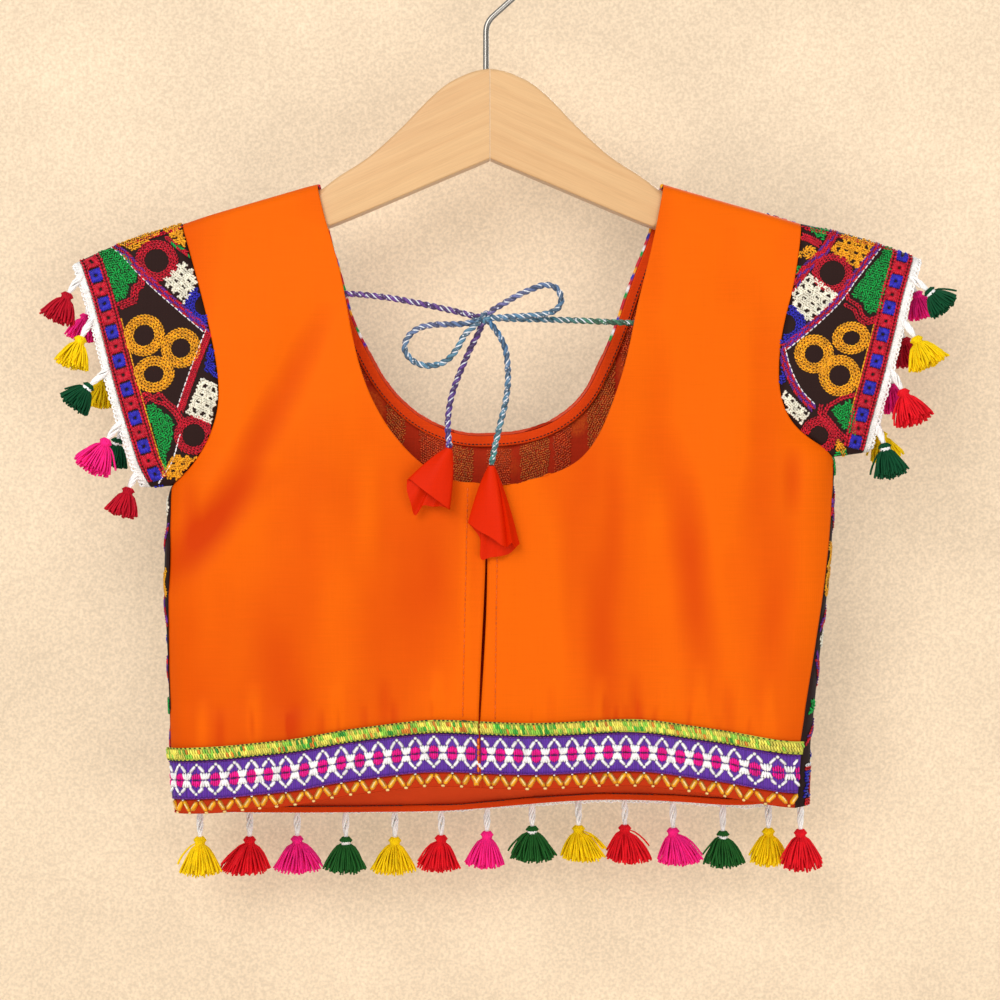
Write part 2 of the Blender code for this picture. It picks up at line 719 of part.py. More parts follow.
class Garment:
    """All outer skins of the garment, and the outward direction at each of their points."""

    def __init__(self):
        self.back = {side: half_panel(side, "back") for side in ("left", "right")}
        self.front = {side: half_panel(side, "front") for side in ("left", "right")}
        self.sleeves = {side: sleeve_rows(side) for side in ("left", "right")}
        body = [*self.back.values(), *self.front.values()]
        self.body_directions = welded_directions(body)
        self.directions = welded_directions([*body, *self.sleeves.values()])
        for rows in body:
            top = rows[-1]
            along = (top[-1] - top[0]).normalized()
            upward = Vector((-along.z, 0, along.x)) * math.copysign(1, along.x)
            for place in top:
                self.directions[key(place)] = upward
        self.step = {}
        for step in underlap(self.back["left"]):
            self.step[key(step[0])] = Vector((1, -1, 0))
            self.step[key(step[1])] = Vector((1, -1, 0))
            self.step[key(step[2])] = Vector((0, -1, 0))

    def outward(self, place):
        return self.directions[key(place)]

    def body_outward(self, place):
        """The outward direction of the back and front alone, without the sleeves."""
        return self.step.get(key(place)) or self.body_directions[key(place)]

    def outward_at_step(self, place):
        """As outward, but square to both sides of the step where the underlap starts."""
        return self.step.get(key(place)) or self.outward(place)

    def front_quads(self, first=0, last=None):
        quads = []
        for rows in self.front.values():
            quads += grid_quads(rows[first:last])
        return quads


# The garment's pieces

def build_back(garment):
    for side, rows in garment.back.items():
        quads = grid_quads(rows[RIBBON_ROW:])
        if side == "left":
            quads += grid_quads(underlap(rows))
        cloth_wall(
            f"back_{side}", quads, garment.outward_at_step, ORANGE_CLOTH, "orange_cloth",
            steep=garment.body_outward,
        )
        cloth_wall(
            f"back_band_{side}", grid_quads(rows[:RIBBON_ROW + 1]), garment.outward, ORANGE_CLOTH,
            "rust_cloth",
        )
        cloth_wall(
            f"ribbon_{side}", grid_quads(rows[RIBBON_ROW:BRAID_ROW + 1]), garment.outward,
            RIBBON_THICKNESS, "purple_ribbon", lift=LAYER_GAP + RIBBON_THICKNESS,
        )
        cloth_wall(
            f"braid_{side}", grid_quads(rows[BRAID_ROW:ORANGE_ROW + 1]), garment.outward,
            BRAID_THICKNESS, "lime_braid", lift=LAYER_GAP + BRAID_THICKNESS,
        )


def build_front(garment):
    """The embroidered front, and the lining that shows through the back's wide neckline."""
    cloth_wall(
        "front", garment.front_quads(), garment.outward, EMBROIDERED_CLOTH, "embroidered_cloth",
        steep=garment.body_outward,
    )
    lining_lift = -(EMBROIDERED_CLOTH + LAYER_GAP)
    cloth_wall(
        "front_lining", garment.front_quads(), garment.outward, LINING_CLOTH, "lining_cloth",
        lift=lining_lift, steep=garment.body_outward,
    )
    cloth_wall(
        "hem_facing", garment.front_quads(0, 2), garment.outward, LINING_CLOTH, "rust_cloth",
        lift=lining_lift - LINING_CLOTH - LAYER_GAP,
    )


def neckline_places(width):
    """Places along the front neckline, from shoulder to shoulder, moved away from its edge."""
    shares = [0.93, 0.86, 0.78, 0.7, 0.6, 0.5, 0.4, 0.32, 0.24, 0.16, 0.08]
    places = []
    for side, order in (("left", shares), ("right", shares[::-1])):
        neck = [(x, z, 0) for x, z in FRONT_NECK[side]]
        outwards = -1 if side == "left" else 1
        for share in order:
            here = spline(neck, share)
            along = (spline(neck, share + 0.01) - spline(neck, share - 0.01)).normalized()
            away = Vector((along.y, -along.x, 0)) * outwards
            places.append(here + away * width)
        if side == "left":
            bottom = neck[0]
            places.append(Vector((bottom[0], bottom[1] - width, 0)))
    return places


def build_neck_facing():
    """The turned strip along the inside of the front neckline."""
    depth_in = EMBROIDERED_CLOTH + LINING_CLOTH + 3 * LAYER_GAP
    rows = []
    for width in (0.4, FACING_WIDTH / 2, FACING_WIDTH):
        rows.append([
            point(p.x, plain_depth("front", p.x, p.y) - depth_in, p.y) for p in neckline_places(width)
        ])
    cloth_wall("neck_facing", grid_quads(rows), lambda place: Vector((0, 1, 0)), LINING_CLOTH, "rust_cloth")


def build_sleeves(garment):
    for side, rows in garment.sleeves.items():
        cloth_wall(
            f"sleeve_{side}", grid_quads(rows), garment.outward, EMBROIDERED_CLOTH, "embroidered_cloth"
        )
        lace = []
        for row in rows:
            edge = row[-1] - garment.outward(row[-1]) * (0.1 * MM)
            run = (row[-1] - row[-2]).normalized()
            lace.append([edge + run * (SEAM_GAP / 2 * MM), edge + run * (SLEEVE_LACE_WIDTH * MM)])
        directions = {key(p): garment.outward(row[-1]) for row, pair in zip(rows, lace) for p in pair}
        cloth_wall(
            f"sleeve_lace_{side}", grid_quads(lace), lambda place, d=directions: d[key(place)],
            LACE_THICKNESS, "white_lace",
        )


def build_hem_lace(garment):
    """The narrow crochet strip under the front's hem."""
    left = [row for row in garment.front["left"][0]]
    right = [row for row in reversed(garment.front["right"][0])]
    hem = left + right[1:]
    top = [p + point(0, 0, -SEAM_GAP / 2) for p in hem[1:-1]]
    low = [p + point(0, 0, -LACE_HEIGHT) for p in hem[1:-1]]
    directions = {}
    for edge, pair in zip(hem[1:-1], zip(top, low)):
        for p in pair:
            flat = garment.outward(edge)
            directions[key(p)] = Vector((flat.x, flat.y, 0)).normalized()
    cloth_wall(
        "hem_lace", grid_quads([low, top]), lambda place: directions[key(place)], LACE_THICKNESS,
        "white_lace",
    )


# Tassels

def tassel(name, top, run, axis, stem, skirt, spread, lean, colour, depth_share=0.5):
    """One tassel: a yarn stem, a bound head and strands that grow from the head's underside.

    The stem leaves the lace in the direction of its run and turns down along the tassel's axis.
    """
    axis = axis.normalized()
    elbow = top + run * (STEM_TURN * MM)
    profile = [
        # ring's middle, its direction, its radius
        (top, run, STEM_RADIUS),
        (elbow, (run + axis).normalized(), STEM_RADIUS),
        (elbow + axis * (stem - STEM_TURN) * MM, axis, STEM_RADIUS),
        (elbow + axis * (stem - STEM_TURN + 1.2) * MM, axis, HEAD_RADIUS),
        (elbow + axis * (stem - STEM_TURN + HEAD_LENGTH) * MM, axis, HEAD_RADIUS * 1.25),
    ]
    work = bmesh.new()
    rings = []
    for middle, direction, radius in profile:
        across = Vector((1, 0, 0)) - direction * direction.x
        if abs(direction.x) > 0.9:
            across = Vector((0, 1, 0)) - direction * direction.y
        across.normalize()
        deep = direction.cross(across)
        ring = []
        for i in range(STRANDS):
            a = 2 * math.pi * i / STRANDS
            side = across * math.cos(a) + deep * math.sin(a)
            ring.append(work.verts.new(middle + side * (radius * MM)))
        rings.append(ring)
    work.faces.new(rings[0])
    for upper, lower in zip(rings, rings[1:]):
        for i in range(STRANDS):
            j = (i + 1) % STRANDS
            work.faces.new((upper[i], upper[j], lower[j], lower[i]))
    middle = [work.verts.new(v.co.lerp(profile[-1][0], 0.7)) for v in rings[-1]]
    work.faces.new(middle)
    roots = []
    for i in range(STRANDS):
        j = (i + 1) % STRANDS
        roots.append(work.faces.new((rings[-1][i], rings[-1][j], middle[j], middle[i])))
    for i, root in enumerate(roots):
        a = 2 * math.pi * (i + 0.5) / STRANDS
        grow_strand(work, root, axis, across, deep, a, skirt - HEAD_LENGTH, spread, lean, depth_share)
    return finish_mesh(name, work, colour)


def grow_strand(work, root, axis, across, deep, angle, length, spread, lean, depth_share):
    """A four-sided strand drawn out of one face under the tassel's head."""
    face = root
    centre = face.calc_center_median()
    tip = centre + (
        axis * (length * (0.96 + 0.05 * math.cos(3 * angle)))
        + across * (spread * STRAND_SPREAD * math.cos(angle) + lean)
        + deep * (spread * depth_share * math.sin(angle))
    ) * MM
    bulge = (across * math.cos(angle) * spread + deep * math.sin(angle) * spread * depth_share) * 0.12
    for share, width in STRAND_WIDTHS:
        middle = face.calc_center_median()
        goal = centre.lerp(tip, share) + bulge * (MM if share < 1 else 0)
        grown = bmesh.ops.extrude_discrete_faces(work, faces=[face])["faces"][0]
        for vertex in grown.verts:
            vertex.co = goal + (vertex.co - middle) * width
        face = grown


def build_tassels(garment):
    lace_low = LACE_HEIGHT + SEAM_GAP
    down = Vector((0, 0, -1))
    for number, (x, stem, skirt, spread, lean, colour) in enumerate(HEM_TASSELS, 1):
        top = front_hem_place(garment, x) + point(0, -LACE_THICKNESS / 2, -lace_low)
        tassel(f"hem_tassel_{number:02d}", top, down, down, stem, skirt, spread, lean, colour)
    for side, table in SLEEVE_TASSELS.items():
        for number, (share, face, stem, skirt, spread, lean_x, lean_y, colour) in enumerate(table, 1):
            place, run = sleeve_hem_place(side, face, share)
            top = place + run * ((SLEEVE_LACE_WIDTH + 2 * SEAM_GAP) * MM)
            axis = Vector((lean_x, lean_y, -1))
            tassel(
                f"sleeve_tassel_{side}_{number}", top, run, axis, stem, skirt, spread, 0.0, colour, 0.42
            )


def front_hem_place(garment, x):
    """The place on the front's lower edge at a distance across, on its far side at the corners."""
    hem = garment.front["left"][0] + garment.front["right"][0][::-1]
    found = [
        a.lerp(b, (x * MM - a.x) / (b.x - a.x))
        for a, b in zip(hem, hem[1:]) if min(a.x, b.x) <= x * MM <= max(a.x, b.x) and a.x != b.x
    ]
    return max(found, key=lambda place: place.y)


def sleeve_hem_place(side, face, share):
    """A place on a sleeve's hem and the direction in which the sleeve runs there."""
    fold = SLEEVE_HEM[side][-1]
    hem = spline([(x, z, 0) for x, z in SLEEVE_HEM[side]], share)
    seam = spline([(x, z, 0) for x, z in ARMHOLE[side]], share)
    closing = rounded(fold[1] - hem.y, SLEEVE_FOLD_ROUND) * rounded(share, ARMPIT_ROUND) ** ARMPIT_POWER
    bulge = -SLEEVE_BULGE_BACK if face == "back" else SLEEVE_BULGE_FRONT
    y = blend(-2.0, 1.0, share) + bulge * closing
    place = point(hem.x, y, hem.y)
    run = place - point(seam.x, armhole_depth(side, face, share), seam.y)
    return place, run.normalized()


# Drawstring

def tube(name, places, radius, steps, colour):
    """A round cord or wire through places in metres, with closed ends."""
    curve = bpy.data.curves.new(name, "CURVE")
    curve.dimensions = "3D"
    curve.bevel_depth = radius * MM
    curve.bevel_resolution = steps
    curve.use_fill_caps = True
    line = curve.splines.new("POLY")
    line.points.add(len(places) - 1)
    for spot, place in zip(line.points, places):
        spot.co = (*place, 1)
    curve.materials.append(material(colour))
    made = bpy.data.objects.new(name, curve)
    bpy.context.scene.collection.objects.link(made)
    return made


def build_drawstring():
    for name, route in DORI_ROUTES.items():
        count = ROUTE_SAMPLES[name]
        places = [spline([point(*p) for p in route], i / count) for i in range(count + 1)]
        tube(name, places, DORI_RADIUS, DORI_BEVEL_STEPS, "twisted_cord")
    work = bmesh.new()
    bmesh.ops.create_icosphere(work, subdivisions=2, radius=1.0)
    size = Matrix.Diagonal((*[s * MM for s in BOW_KNOT_SIZE], 1))
    bmesh.ops.transform(work, matrix=Matrix.Translation(point(*BOW_KNOT)) @ size, verts=work.verts[:])
    finish_mesh("bow_knot", work, "twisted_cord")


def build_latkan(name, top, rings, flutes):
    """A hollow cone of folded cloth that hangs on a drawstring's end."""
    work = bmesh.new()
    skins = []
    for inset, start in ((0.0, 0), (LATKAN_CLOTH, 1)):
        skin = []
        for drop, shift, half_width, half_depth, flute in rings[start:]:
            ring = []
            for i in range(LATKAN_SIDES):
                a = 2 * math.pi * i / LATKAN_SIDES
                wave = 1 + flute * math.cos(flutes * a + 0.6)
                x = (half_width * wave - inset) * math.cos(a)
                y = (half_depth * wave - inset) * math.sin(a)
                place = Vector(top) + Vector((shift + x, y, -drop))
                ring.append(work.verts.new(place * MM))
            skin.append(ring)
        skins.append(skin)
    for skin in skins:
        work.faces.new(skin[0])
        for upper, lower in zip(skin, skin[1:]):
            for i in range(LATKAN_SIDES):
                j = (i + 1) % LATKAN_SIDES
                work.faces.new((upper[i], upper[j], lower[j], lower[i]))
    outer, inner = skins[0][-1], skins[1][-1]
    for i in range(LATKAN_SIDES):
        j = (i + 1) % LATKAN_SIDES
        work.faces.new((outer[i], outer[j], inner[j], inner[i]))
    finish_mesh(name, work, "latkan_cloth")


# Hanger

def arm_section(out, top, bottom, side):
    """The rounded cross-section of a hanger arm at one distance from its middle."""
    half = HANGER_THICKNESS / 2
    if out > 140:
        half *= blend(1.0, 0.62, (out - 140) / 9)
    radius = min(HANGER_EDGE_RADIUS, half * 0.9, (top - bottom) / 2.2)
    places = []
    for corner_y, corner_z, start in (
        (half - radius, top - radius, 0), (-(half - radius), top - radius, 90),
        (-(half - radius), bottom + radius, 180), (half - radius, bottom + radius, 270),
    ):
        for step in range(4):
            a = math.radians(start + 30 * step)
            places.append(point(side * out, corner_y + radius * math.cos(a), corner_z + radius * math.sin(a)))
    return places


def build_hanger():
    for name, side in (("left", -1), ("right", 1)):
        work = bmesh.new()
        rings = []
        for out, top, bottom in HANGER_ARM:
            out = max(out, SEAM_GAP / 2)
            rings.append([work.verts.new(p) for p in arm_section(out, top, bottom, side)])
        work.faces.new(rings[0])
        work.faces.new(rings[-1])
        for a, b in zip(rings, rings[1:]):
            for i in range(len(a)):
                j = (i + 1) % len(a)
                work.faces.new((a[i], a[j], b[j], b[i]))
        arm = finish_mesh(f"hanger_{name}", work, "wood")
        if side == -1:
            drill_hook_hole(arm)


def drill_hook_hole(arm):
    work = bmesh.new()
    bmesh.ops.create_cone(
        work, cap_ends=True, segments=12, radius1=(HOOK_WIRE_RADIUS + SEAM_GAP) * MM,
        radius2=(HOOK_WIRE_RADIUS + SEAM_GAP) * MM, depth=2 * HOOK_HOLE_DEPTH * MM,
    )
    bmesh.ops.translate(work, vec=point(HOOK_STEM_X, 0, HANGER_ARM[0][1]), verts=work.verts[:])
    cutter = finish_mesh("hook_hole_cutter", work, "steel")
    cutter.hide_render = True
    cutter.display_type = "WIRE"
    hole = arm.modifiers.new("hook hole", "BOOLEAN")
    hole.object = cutter
    hole.operation = "DIFFERENCE"


def build_hook():
    """A wire hook: a stem, a slope out to the side and a round crown back over the stem."""
    slope = math.radians(HOOK_SLOPE_DEG)
    centre_z = HOOK_WIRE_RADIUS - HOOK_RADIUS
    start_angle = slope - math.pi / 2
    arc = [
        Vector((HOOK_RADIUS * math.cos(a), 0, centre_z + HOOK_RADIUS * math.sin(a)))
        for a in [start_angle + math.radians(i * 13) for i in range(19)]
    ]
    stem_low = HANGER_ARM[0][1] - HOOK_HOLE_DEPTH + 2 * SEAM_GAP
    bend = arc[0] - Vector((math.cos(slope), 0, math.sin(slope))) * (
        (arc[0].x - HOOK_STEM_X) / math.cos(slope)
    )
    round_off = 5.0
    up, out = Vector((0, 0, 1)), Vector((math.cos(slope), 0, math.sin(slope)))
    knee = []
    for i in range(5):
        t = i / 4
        low, high = bend - up * round_off, bend + out * round_off
        knee.append(low * (1 - t) ** 2 + bend * 2 * t * (1 - t) + high * t * t)
    route = [Vector((HOOK_STEM_X, 0, stem_low)), *knee, *arc]
    tube("hanger_hook", [p * MM for p in route], HOOK_WIRE_RADIUS, 2, "steel")


def main():
    for old in list(bpy.data.objects):
        bpy.data.objects.remove(old)
    garment = Garment()
    build_back(garment)
    build_front(garment)
    build_neck_facing()
    build_sleeves(garment)
    build_hem_lace(garment)
    build_tassels(garment)
    build_drawstring()
    for name, shape in LATKANS.items():
        build_latkan(name, shape["top"], shape["rings"], shape["flutes"])
    build_hanger()
    build_hook()


main()
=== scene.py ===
"""The looks of a child's choli blouse on a wooden hanger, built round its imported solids.

The frame has +X to the viewer's right, +Y away from the viewer and +Z up. Tables are in
millimetres or in the thread colours' everyday 0 to 255 values; every mesh is in metres.
"""

import math
import random

import bmesh
import bpy
from bpy.props import FloatProperty, FloatVectorProperty, IntProperty, PointerProperty
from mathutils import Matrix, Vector
from mathutils import noise as perlin
from mathutils.bvhtree import BVHTree


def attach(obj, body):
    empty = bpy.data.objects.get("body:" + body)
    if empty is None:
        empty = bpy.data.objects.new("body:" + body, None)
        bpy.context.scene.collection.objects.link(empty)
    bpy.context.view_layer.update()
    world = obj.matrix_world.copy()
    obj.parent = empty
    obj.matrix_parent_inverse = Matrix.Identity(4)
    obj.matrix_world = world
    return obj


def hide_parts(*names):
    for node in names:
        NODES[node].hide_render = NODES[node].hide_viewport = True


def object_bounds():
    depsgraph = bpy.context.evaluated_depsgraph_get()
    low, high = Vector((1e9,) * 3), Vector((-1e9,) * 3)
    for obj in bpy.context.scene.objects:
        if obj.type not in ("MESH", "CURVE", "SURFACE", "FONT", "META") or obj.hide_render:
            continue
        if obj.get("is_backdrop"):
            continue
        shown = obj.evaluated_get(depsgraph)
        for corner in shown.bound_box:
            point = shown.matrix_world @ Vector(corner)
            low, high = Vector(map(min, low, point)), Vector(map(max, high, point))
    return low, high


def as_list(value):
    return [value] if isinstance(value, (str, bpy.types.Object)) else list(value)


bl_info = {
    "name": "Choli blouse on a hanger",
    "version": (1, 0, 0),
    "blender": (4, 5, 0),
    "location": "View3D > Sidebar > Choli",
    "description": "Dresses the solids of a child's choli blouse in cloth, thread and yarn",
    "category": "Object",
}

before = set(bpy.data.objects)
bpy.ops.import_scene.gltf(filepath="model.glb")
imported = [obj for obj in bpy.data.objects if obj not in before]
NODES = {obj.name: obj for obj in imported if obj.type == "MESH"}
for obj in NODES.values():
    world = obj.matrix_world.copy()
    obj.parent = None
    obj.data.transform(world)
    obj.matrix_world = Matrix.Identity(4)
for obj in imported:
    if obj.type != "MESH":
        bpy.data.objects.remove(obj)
FRAME_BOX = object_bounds()
MM = 0.001
UP = Vector((0, 0, 1))


def linear(colour):
    """An everyday 0 to 255 colour as the light values that Blender's sockets hold."""
    return tuple(
        c / 255 / 12.92 if c <= 10 else ((c / 255 + 0.055) / 1.055) ** 2.4 for c in colour
    )


# Places repeated from the solids' source

BACK_HEM = [
    # x, z
    (-156.5, -445.5), (-128.5, -443.5), (-95.0, -440.0), (-71.5, -435.5), (-47.0, -432.5),
    (-29.0, -430.6), (-5.0, -431.5), (20.0, -432.5), (62.0, -430.5), (80.0, -431.0),
    (99.0, -433.5), (117.5, -436.2), (132.0, -439.0), (143.0, -441.0), (151.0, -442.0),
]
FRONT_HEM = [
    # x, z
    (-156.5, -445.5), (-146.0, -447.4), (-120.0, -448.5), (-66.0, -448.3), (-17.0, -447.5),
    (20.0, -444.0), (56.0, -441.8), (90.0, -442.4), (112.0, -444.0), (131.0, -445.0),
    (142.0, -444.6), (151.0, -442.0),
]
SIDE_SEAM = {
    -1: [
        # z, x
        (-445.5, -156.5), (-412.5, -159.0), (-372.0, -160.2), (-330.0, -160.2), (-300.0, -159.4),
        (-283.0, -159.0),
    ],
    1: [
        # z, x
        (-442.0, 151.0), (-412.5, 153.5), (-372.0, 160.0), (-330.0, 166.2), (-295.0, 169.8),
        (-268.5, 171.0),
    ],
}
ARMHOLE = {
    -1: [
        # z, x
        (-283.0, -159.0), (-270.6, -147.0), (-259.4, -140.0), (-247.0, -135.6), (-232.0, -134.5),
        (-214.6, -137.0), (-197.0, -141.0), (-179.4, -145.6), (-163.6, -150.0), (-151.4, -153.5),
    ],
    1: [
        # z, x
        (-268.5, 171.0), (-262.4, 164.0), (-255.8, 155.0), (-246.8, 147.6), (-234.4, 144.0),
        (-219.6, 143.6), (-202.0, 146.0), (-184.6, 150.4), (-167.0, 153.4), (-151.4, 155.0),
    ],
}
BACK_NECK = {
    -1: [
        # x, z
        (-1.5, -283.0), (-17.0, -279.6), (-32.5, -272.2), (-46.0, -258.8), (-56.0, -243.6),
        (-63.0, -227.0), (-67.6, -209.6), (-71.0, -192.0), (-74.0, -177.0), (-78.0, -162.0),
        (-82.5, -147.0), (-86.0, -131.6),
    ],
    1: [
        # x, z
        (-1.5, -283.0), (12.5, -281.2), (30.0, -276.6), (45.0, -268.6), (55.0, -254.6),
        (61.0, -239.6), (66.0, -224.6), (69.6, -209.6), (72.6, -194.6), (76.4, -179.6),
        (80.0, -164.6), (83.2, -149.6), (86.5, -131.6),
    ],
}
FRONT_NECK = [
    # x, z
    (-86.0, -131.6), (-81.0, -157.0), (-75.4, -177.0), (-70.0, -197.0), (-63.0, -212.4),
    (-53.4, -229.4), (-42.4, -241.8), (-29.5, -250.6), (-14.0, -256.0), (0.0, -256.5),
    (16.0, -255.0), (32.0, -249.4), (46.4, -237.6), (56.0, -220.0), (63.4, -202.4),
    (69.6, -184.0), (75.0, -170.0), (80.4, -155.6), (86.5, -131.6),
]
SLEEVE_HEM = {
    # from the shoulder fold down to the underarm
    -1: [
        # x, z
        (-205.0, -170.0), (-202.0, -174.0), (-197.4, -187.6), (-192.4, -206.0), (-187.6, -225.0),
        (-183.0, -242.0), (-178.4, -258.0), (-174.4, -272.0), (-169.0, -283.6),
    ],
    1: [
        # x, z
        (210.8, -167.4), (208.4, -174.4), (204.6, -187.6), (200.8, -204.0), (196.6, -221.0),
        (192.6, -236.6), (188.6, -252.6), (186.0, -266.4),
    ],
}
SHOULDER_X = 86.0
SHOULDER_Z = -131.6
SHOULDER_SLOPE = 0.2847
CORNER_LENGTH = 32.0
CORNER_ARC = 38.0
RIBBON_LOW = 7.3
RIBBON_HIGH = 26.6
BRAID_HIGH = 33.2
TRIM_DEPTH = 22.0
BOW_KNOT = (-2.2, -16.6, -199.6)
DORI_ROUTES = {
    "dori_left": [
        # x, y, z
        (-76.5, -6.4, -186.8), (-71.0, -6.5, -187.0), (-65.0, -8.6, -187.4), (-50.0, -12.0, -189.4),
        (-37.6, -13.8, -191.8), (-23.0, -15.2, -195.0), (-13.0, -16.0, -197.4), (-7.4, -16.4, -198.9),
    ],
    "dori_right": [
        # x, y, z
        (75.0, -7.6, -201.7), (70.0, -8.2, -201.6), (60.0, -11.0, -201.4), (45.0, -12.6, -200.8),
        (30.0, -14.2, -200.4), (16.0, -15.4, -200.2), (8.0, -16.2, -200.1), (3.2, -16.6, -199.9),
    ],
    "bow_left": [
        # x, y, z
        (-7.6, -18.0, -201.4), (-13.0, -18.6, -202.8), (-21.0, -18.4, -203.0), (-29.0, -18.0, -203.4),
        (-36.0, -17.6, -205.4), (-41.0, -17.2, -210.4), (-41.6, -17.2, -216.4), (-36.6, -17.6, -221.8),
        (-29.0, -18.2, -223.4), (-21.4, -19.4, -221.0), (-16.0, -20.6, -215.0), (-12.4, -21.2, -208.6),
        (-7.6, -20.2, -204.0),
    ],
    "bow_right": [
        # x, y, z
        (2.0, -18.4, -195.6), (6.6, -18.8, -193.0), (12.6, -18.6, -189.4), (19.4, -18.2, -186.2),
        (27.0, -17.8, -183.6), (32.8, -17.6, -185.2), (35.2, -17.8, -190.4), (33.2, -18.4, -195.4),
        (27.4, -19.4, -198.0), (19.0, -20.2, -199.0), (10.6, -20.6, -199.4), (4.0, -19.8, -199.8),
    ],
    "tail_left": [
        # x, y, z
        (-4.15, -17.65, -204.0), (-6.4, -18.0, -209.0), (-9.6, -18.0, -215.0), (-13.4, -18.0, -223.6),
        (-16.8, -18.2, -232.0), (-19.4, -18.6, -241.0), (-20.6, -19.2, -250.6), (-20.4, -20.2, -258.0),
        (-19.9, -21.4, -263.6),
    ],
    "tail_right": [
        # x, y, z
        (0.9, -17.6, -203.2), (4.6, -18.2, -208.4), (7.6, -18.4, -215.0), (8.8, -18.4, -224.0),
        (8.8, -18.6, -233.4), (7.4, -18.8, -243.0), (5.0, -19.4, -252.6), (2.8, -20.4, -262.0),
        (0.8, -21.8, -272.0),
    ],
}
HEM_YARNS = ("yellow", "red", "pink", "green")
TASSELS = {
    # colour, lean of the tassel's axis across and away
    **{f"hem_tassel_{i + 1:02d}": (HEM_YARNS[i % len(HEM_YARNS)], 0, 0) for i in range(14)},
    "sleeve_tassel_left_1": ("crimson", -0.42, -0.10),
    "sleeve_tassel_left_2": ("yellow", -0.34, -0.16),
    "sleeve_tassel_left_3": ("dark green", -0.78, -0.20),
    "sleeve_tassel_left_4": ("pink", -0.50, -0.24),
    "sleeve_tassel_left_5": ("crimson", -0.30, -0.10),
    "sleeve_tassel_left_6": ("pink", -0.26, 0.12),
    "sleeve_tassel_left_7": ("yellow", -0.26, 0.16),
    "sleeve_tassel_left_8": ("dark green", -0.30, 0.14),
    "sleeve_tassel_right_1": ("dark green", 0.92, -0.16),
    "sleeve_tassel_right_2": ("yellow", 0.46, -0.18),
    "sleeve_tassel_right_3": ("red", 0.36, -0.20),
    "sleeve_tassel_right_4": ("dark green", 0.22, -0.16),
    "sleeve_tassel_right_5": ("pink", 0.42, 0.10),
    "sleeve_tassel_right_6": ("crimson", 0.36, 0.14),
    "sleeve_tassel_right_7": ("pink", 0.32, 0.16),
    "sleeve_tassel_right_8": ("yellow", 0.26, 0.14),
}

THREAD = {
    "crimson": (206, 10, 44),
    "red": (214, 18, 30),
    "blue": (44, 38, 186),
    "purple": (112, 40, 150),
    "green": (2, 164, 68),
    "gold": (255, 176, 22),
    "cream": (246, 240, 222),
    "white": (252, 250, 252),
    "magenta": (244, 4, 150),
    "lemon": (252, 240, 104),
    "lime": (160, 220, 80),
    "fresh green": (70, 182, 66),
    "amber": (240, 148, 50),
    "bottle": (10, 62, 34),
    # the colour of the zigzag's tip knots, and of the painted highlight on its gold strokes
    "pale gold and highlight": (255, 216, 140),
    "orange": (248, 112, 20),
    "dull gold": (226, 116, 42),
    "dull orange": (236, 92, 32),
    "ground": (46, 28, 26),
}
YARN = {
    "yellow": (255, 216, 8),
    "red": (236, 24, 38),
    "pink": (255, 38, 140),
    "green": (34, 98, 40),
    "crimson": (196, 18, 42),
    "dark green": (12, 78, 46),
    "white": (255, 253, 252),
}


# Settings that a user would change

def colour_setting(name, description, colour):
    return FloatVectorProperty(
        name=name, description=description, subtype="COLOR", size=3, min=0, max=1, default=linear(colour)
    )


def length_setting(name, description, size, least, most):
    return FloatProperty(
        name=name, description=description, subtype="DISTANCE", unit="LENGTH",
        default=size * MM, min=least * MM, max=most * MM,
    )


class ClothSettings(bpy.types.PropertyGroup):
    """Colours and finish of the blouse's cloth."""

    orange: colour_setting("Orange", "Colour of the two back panels", (236, 100, 0))
    rust: colour_setting("Rust", "Colour of the hem band", (186, 52, 16))
    lining: colour_setting("Lining", "Colour of the front's lining", (178, 46, 20))
    facing: colour_setting("Facing", "Colour of the turned strips on the lining", (226, 68, 14))
    ground: colour_setting("Ground", "Colour of the cloth under the embroidery", (44, 27, 25))
    purple: colour_setting("Purple", "Colour of the ribbed ribbon", (92, 42, 158))
    lime: colour_setting("Lime", "Colour of the braid under its stitches", (196, 200, 80))
    lace: colour_setting("Lace", "Colour of the crocheted edging", (255, 253, 250))
    latkan: colour_setting("Latkan", "Colour of the cloth cones on the drawstring", (216, 38, 0))
    weave: length_setting("Weave", "Distance between two threads of the cloth", 0.45, 0.1, 2)
    thickness: length_setting("Thickness", "Thickness of one layer of cloth", 0.8, 0.2, 1.0)


class ThreadSettings(bpy.types.PropertyGroup):
    """Sizes of the yarn and the cord."""

    strands: IntProperty(
        name="Strands", description="Number of yarn strands in a tassel", default=132, min=20, max=200
    )
    strand_radius: length_setting("Strand radius", "Radius of one yarn strand in a tassel", 0.4, 0.1, 1)
    cord_pitch: length_setting("Cord twist", "Length of one full turn of the drawstring's plies", 7.6, 3, 30)


class HangerSettings(bpy.types.PropertyGroup):
    """Finish of the hanger."""

    wood: colour_setting("Wood", "Colour of the pale wood between its darker lines", (222, 180, 130))
    grain: colour_setting("Grain", "Colour of the wood's darker lines", (200, 149, 100))
    steel: colour_setting("Steel", "Colour of the hook's wire", (150, 146, 140))


class StageSettings(bpy.types.PropertyGroup):
    """Floor, light and backdrop colour."""

    backdrop: colour_setting("Backdrop", "Colour of the wall behind the blouse", (245, 221, 190))
    sky: colour_setting("Sky", "Colour of the even light from all round", (250, 248, 244))
    sky_strength: FloatProperty(
        name="Sky strength", description="Strength of the even light from all round",
        default=0.58, min=0, max=5,
    )
    floor: colour_setting("Floor", "Colour of the floor", (240, 228, 208))
    key_power: FloatProperty(
        name="Key light", description="Power of the large soft light", subtype="POWER", unit="POWER",
        default=22.0, min=0, max=500,
    )
    floor_drop: FloatProperty(
        name="Floor drop", description="Height of the floor below the hanger's rail",
        subtype="DISTANCE", unit="LENGTH", default=-0.75, min=-3, max=-0.5,
    )


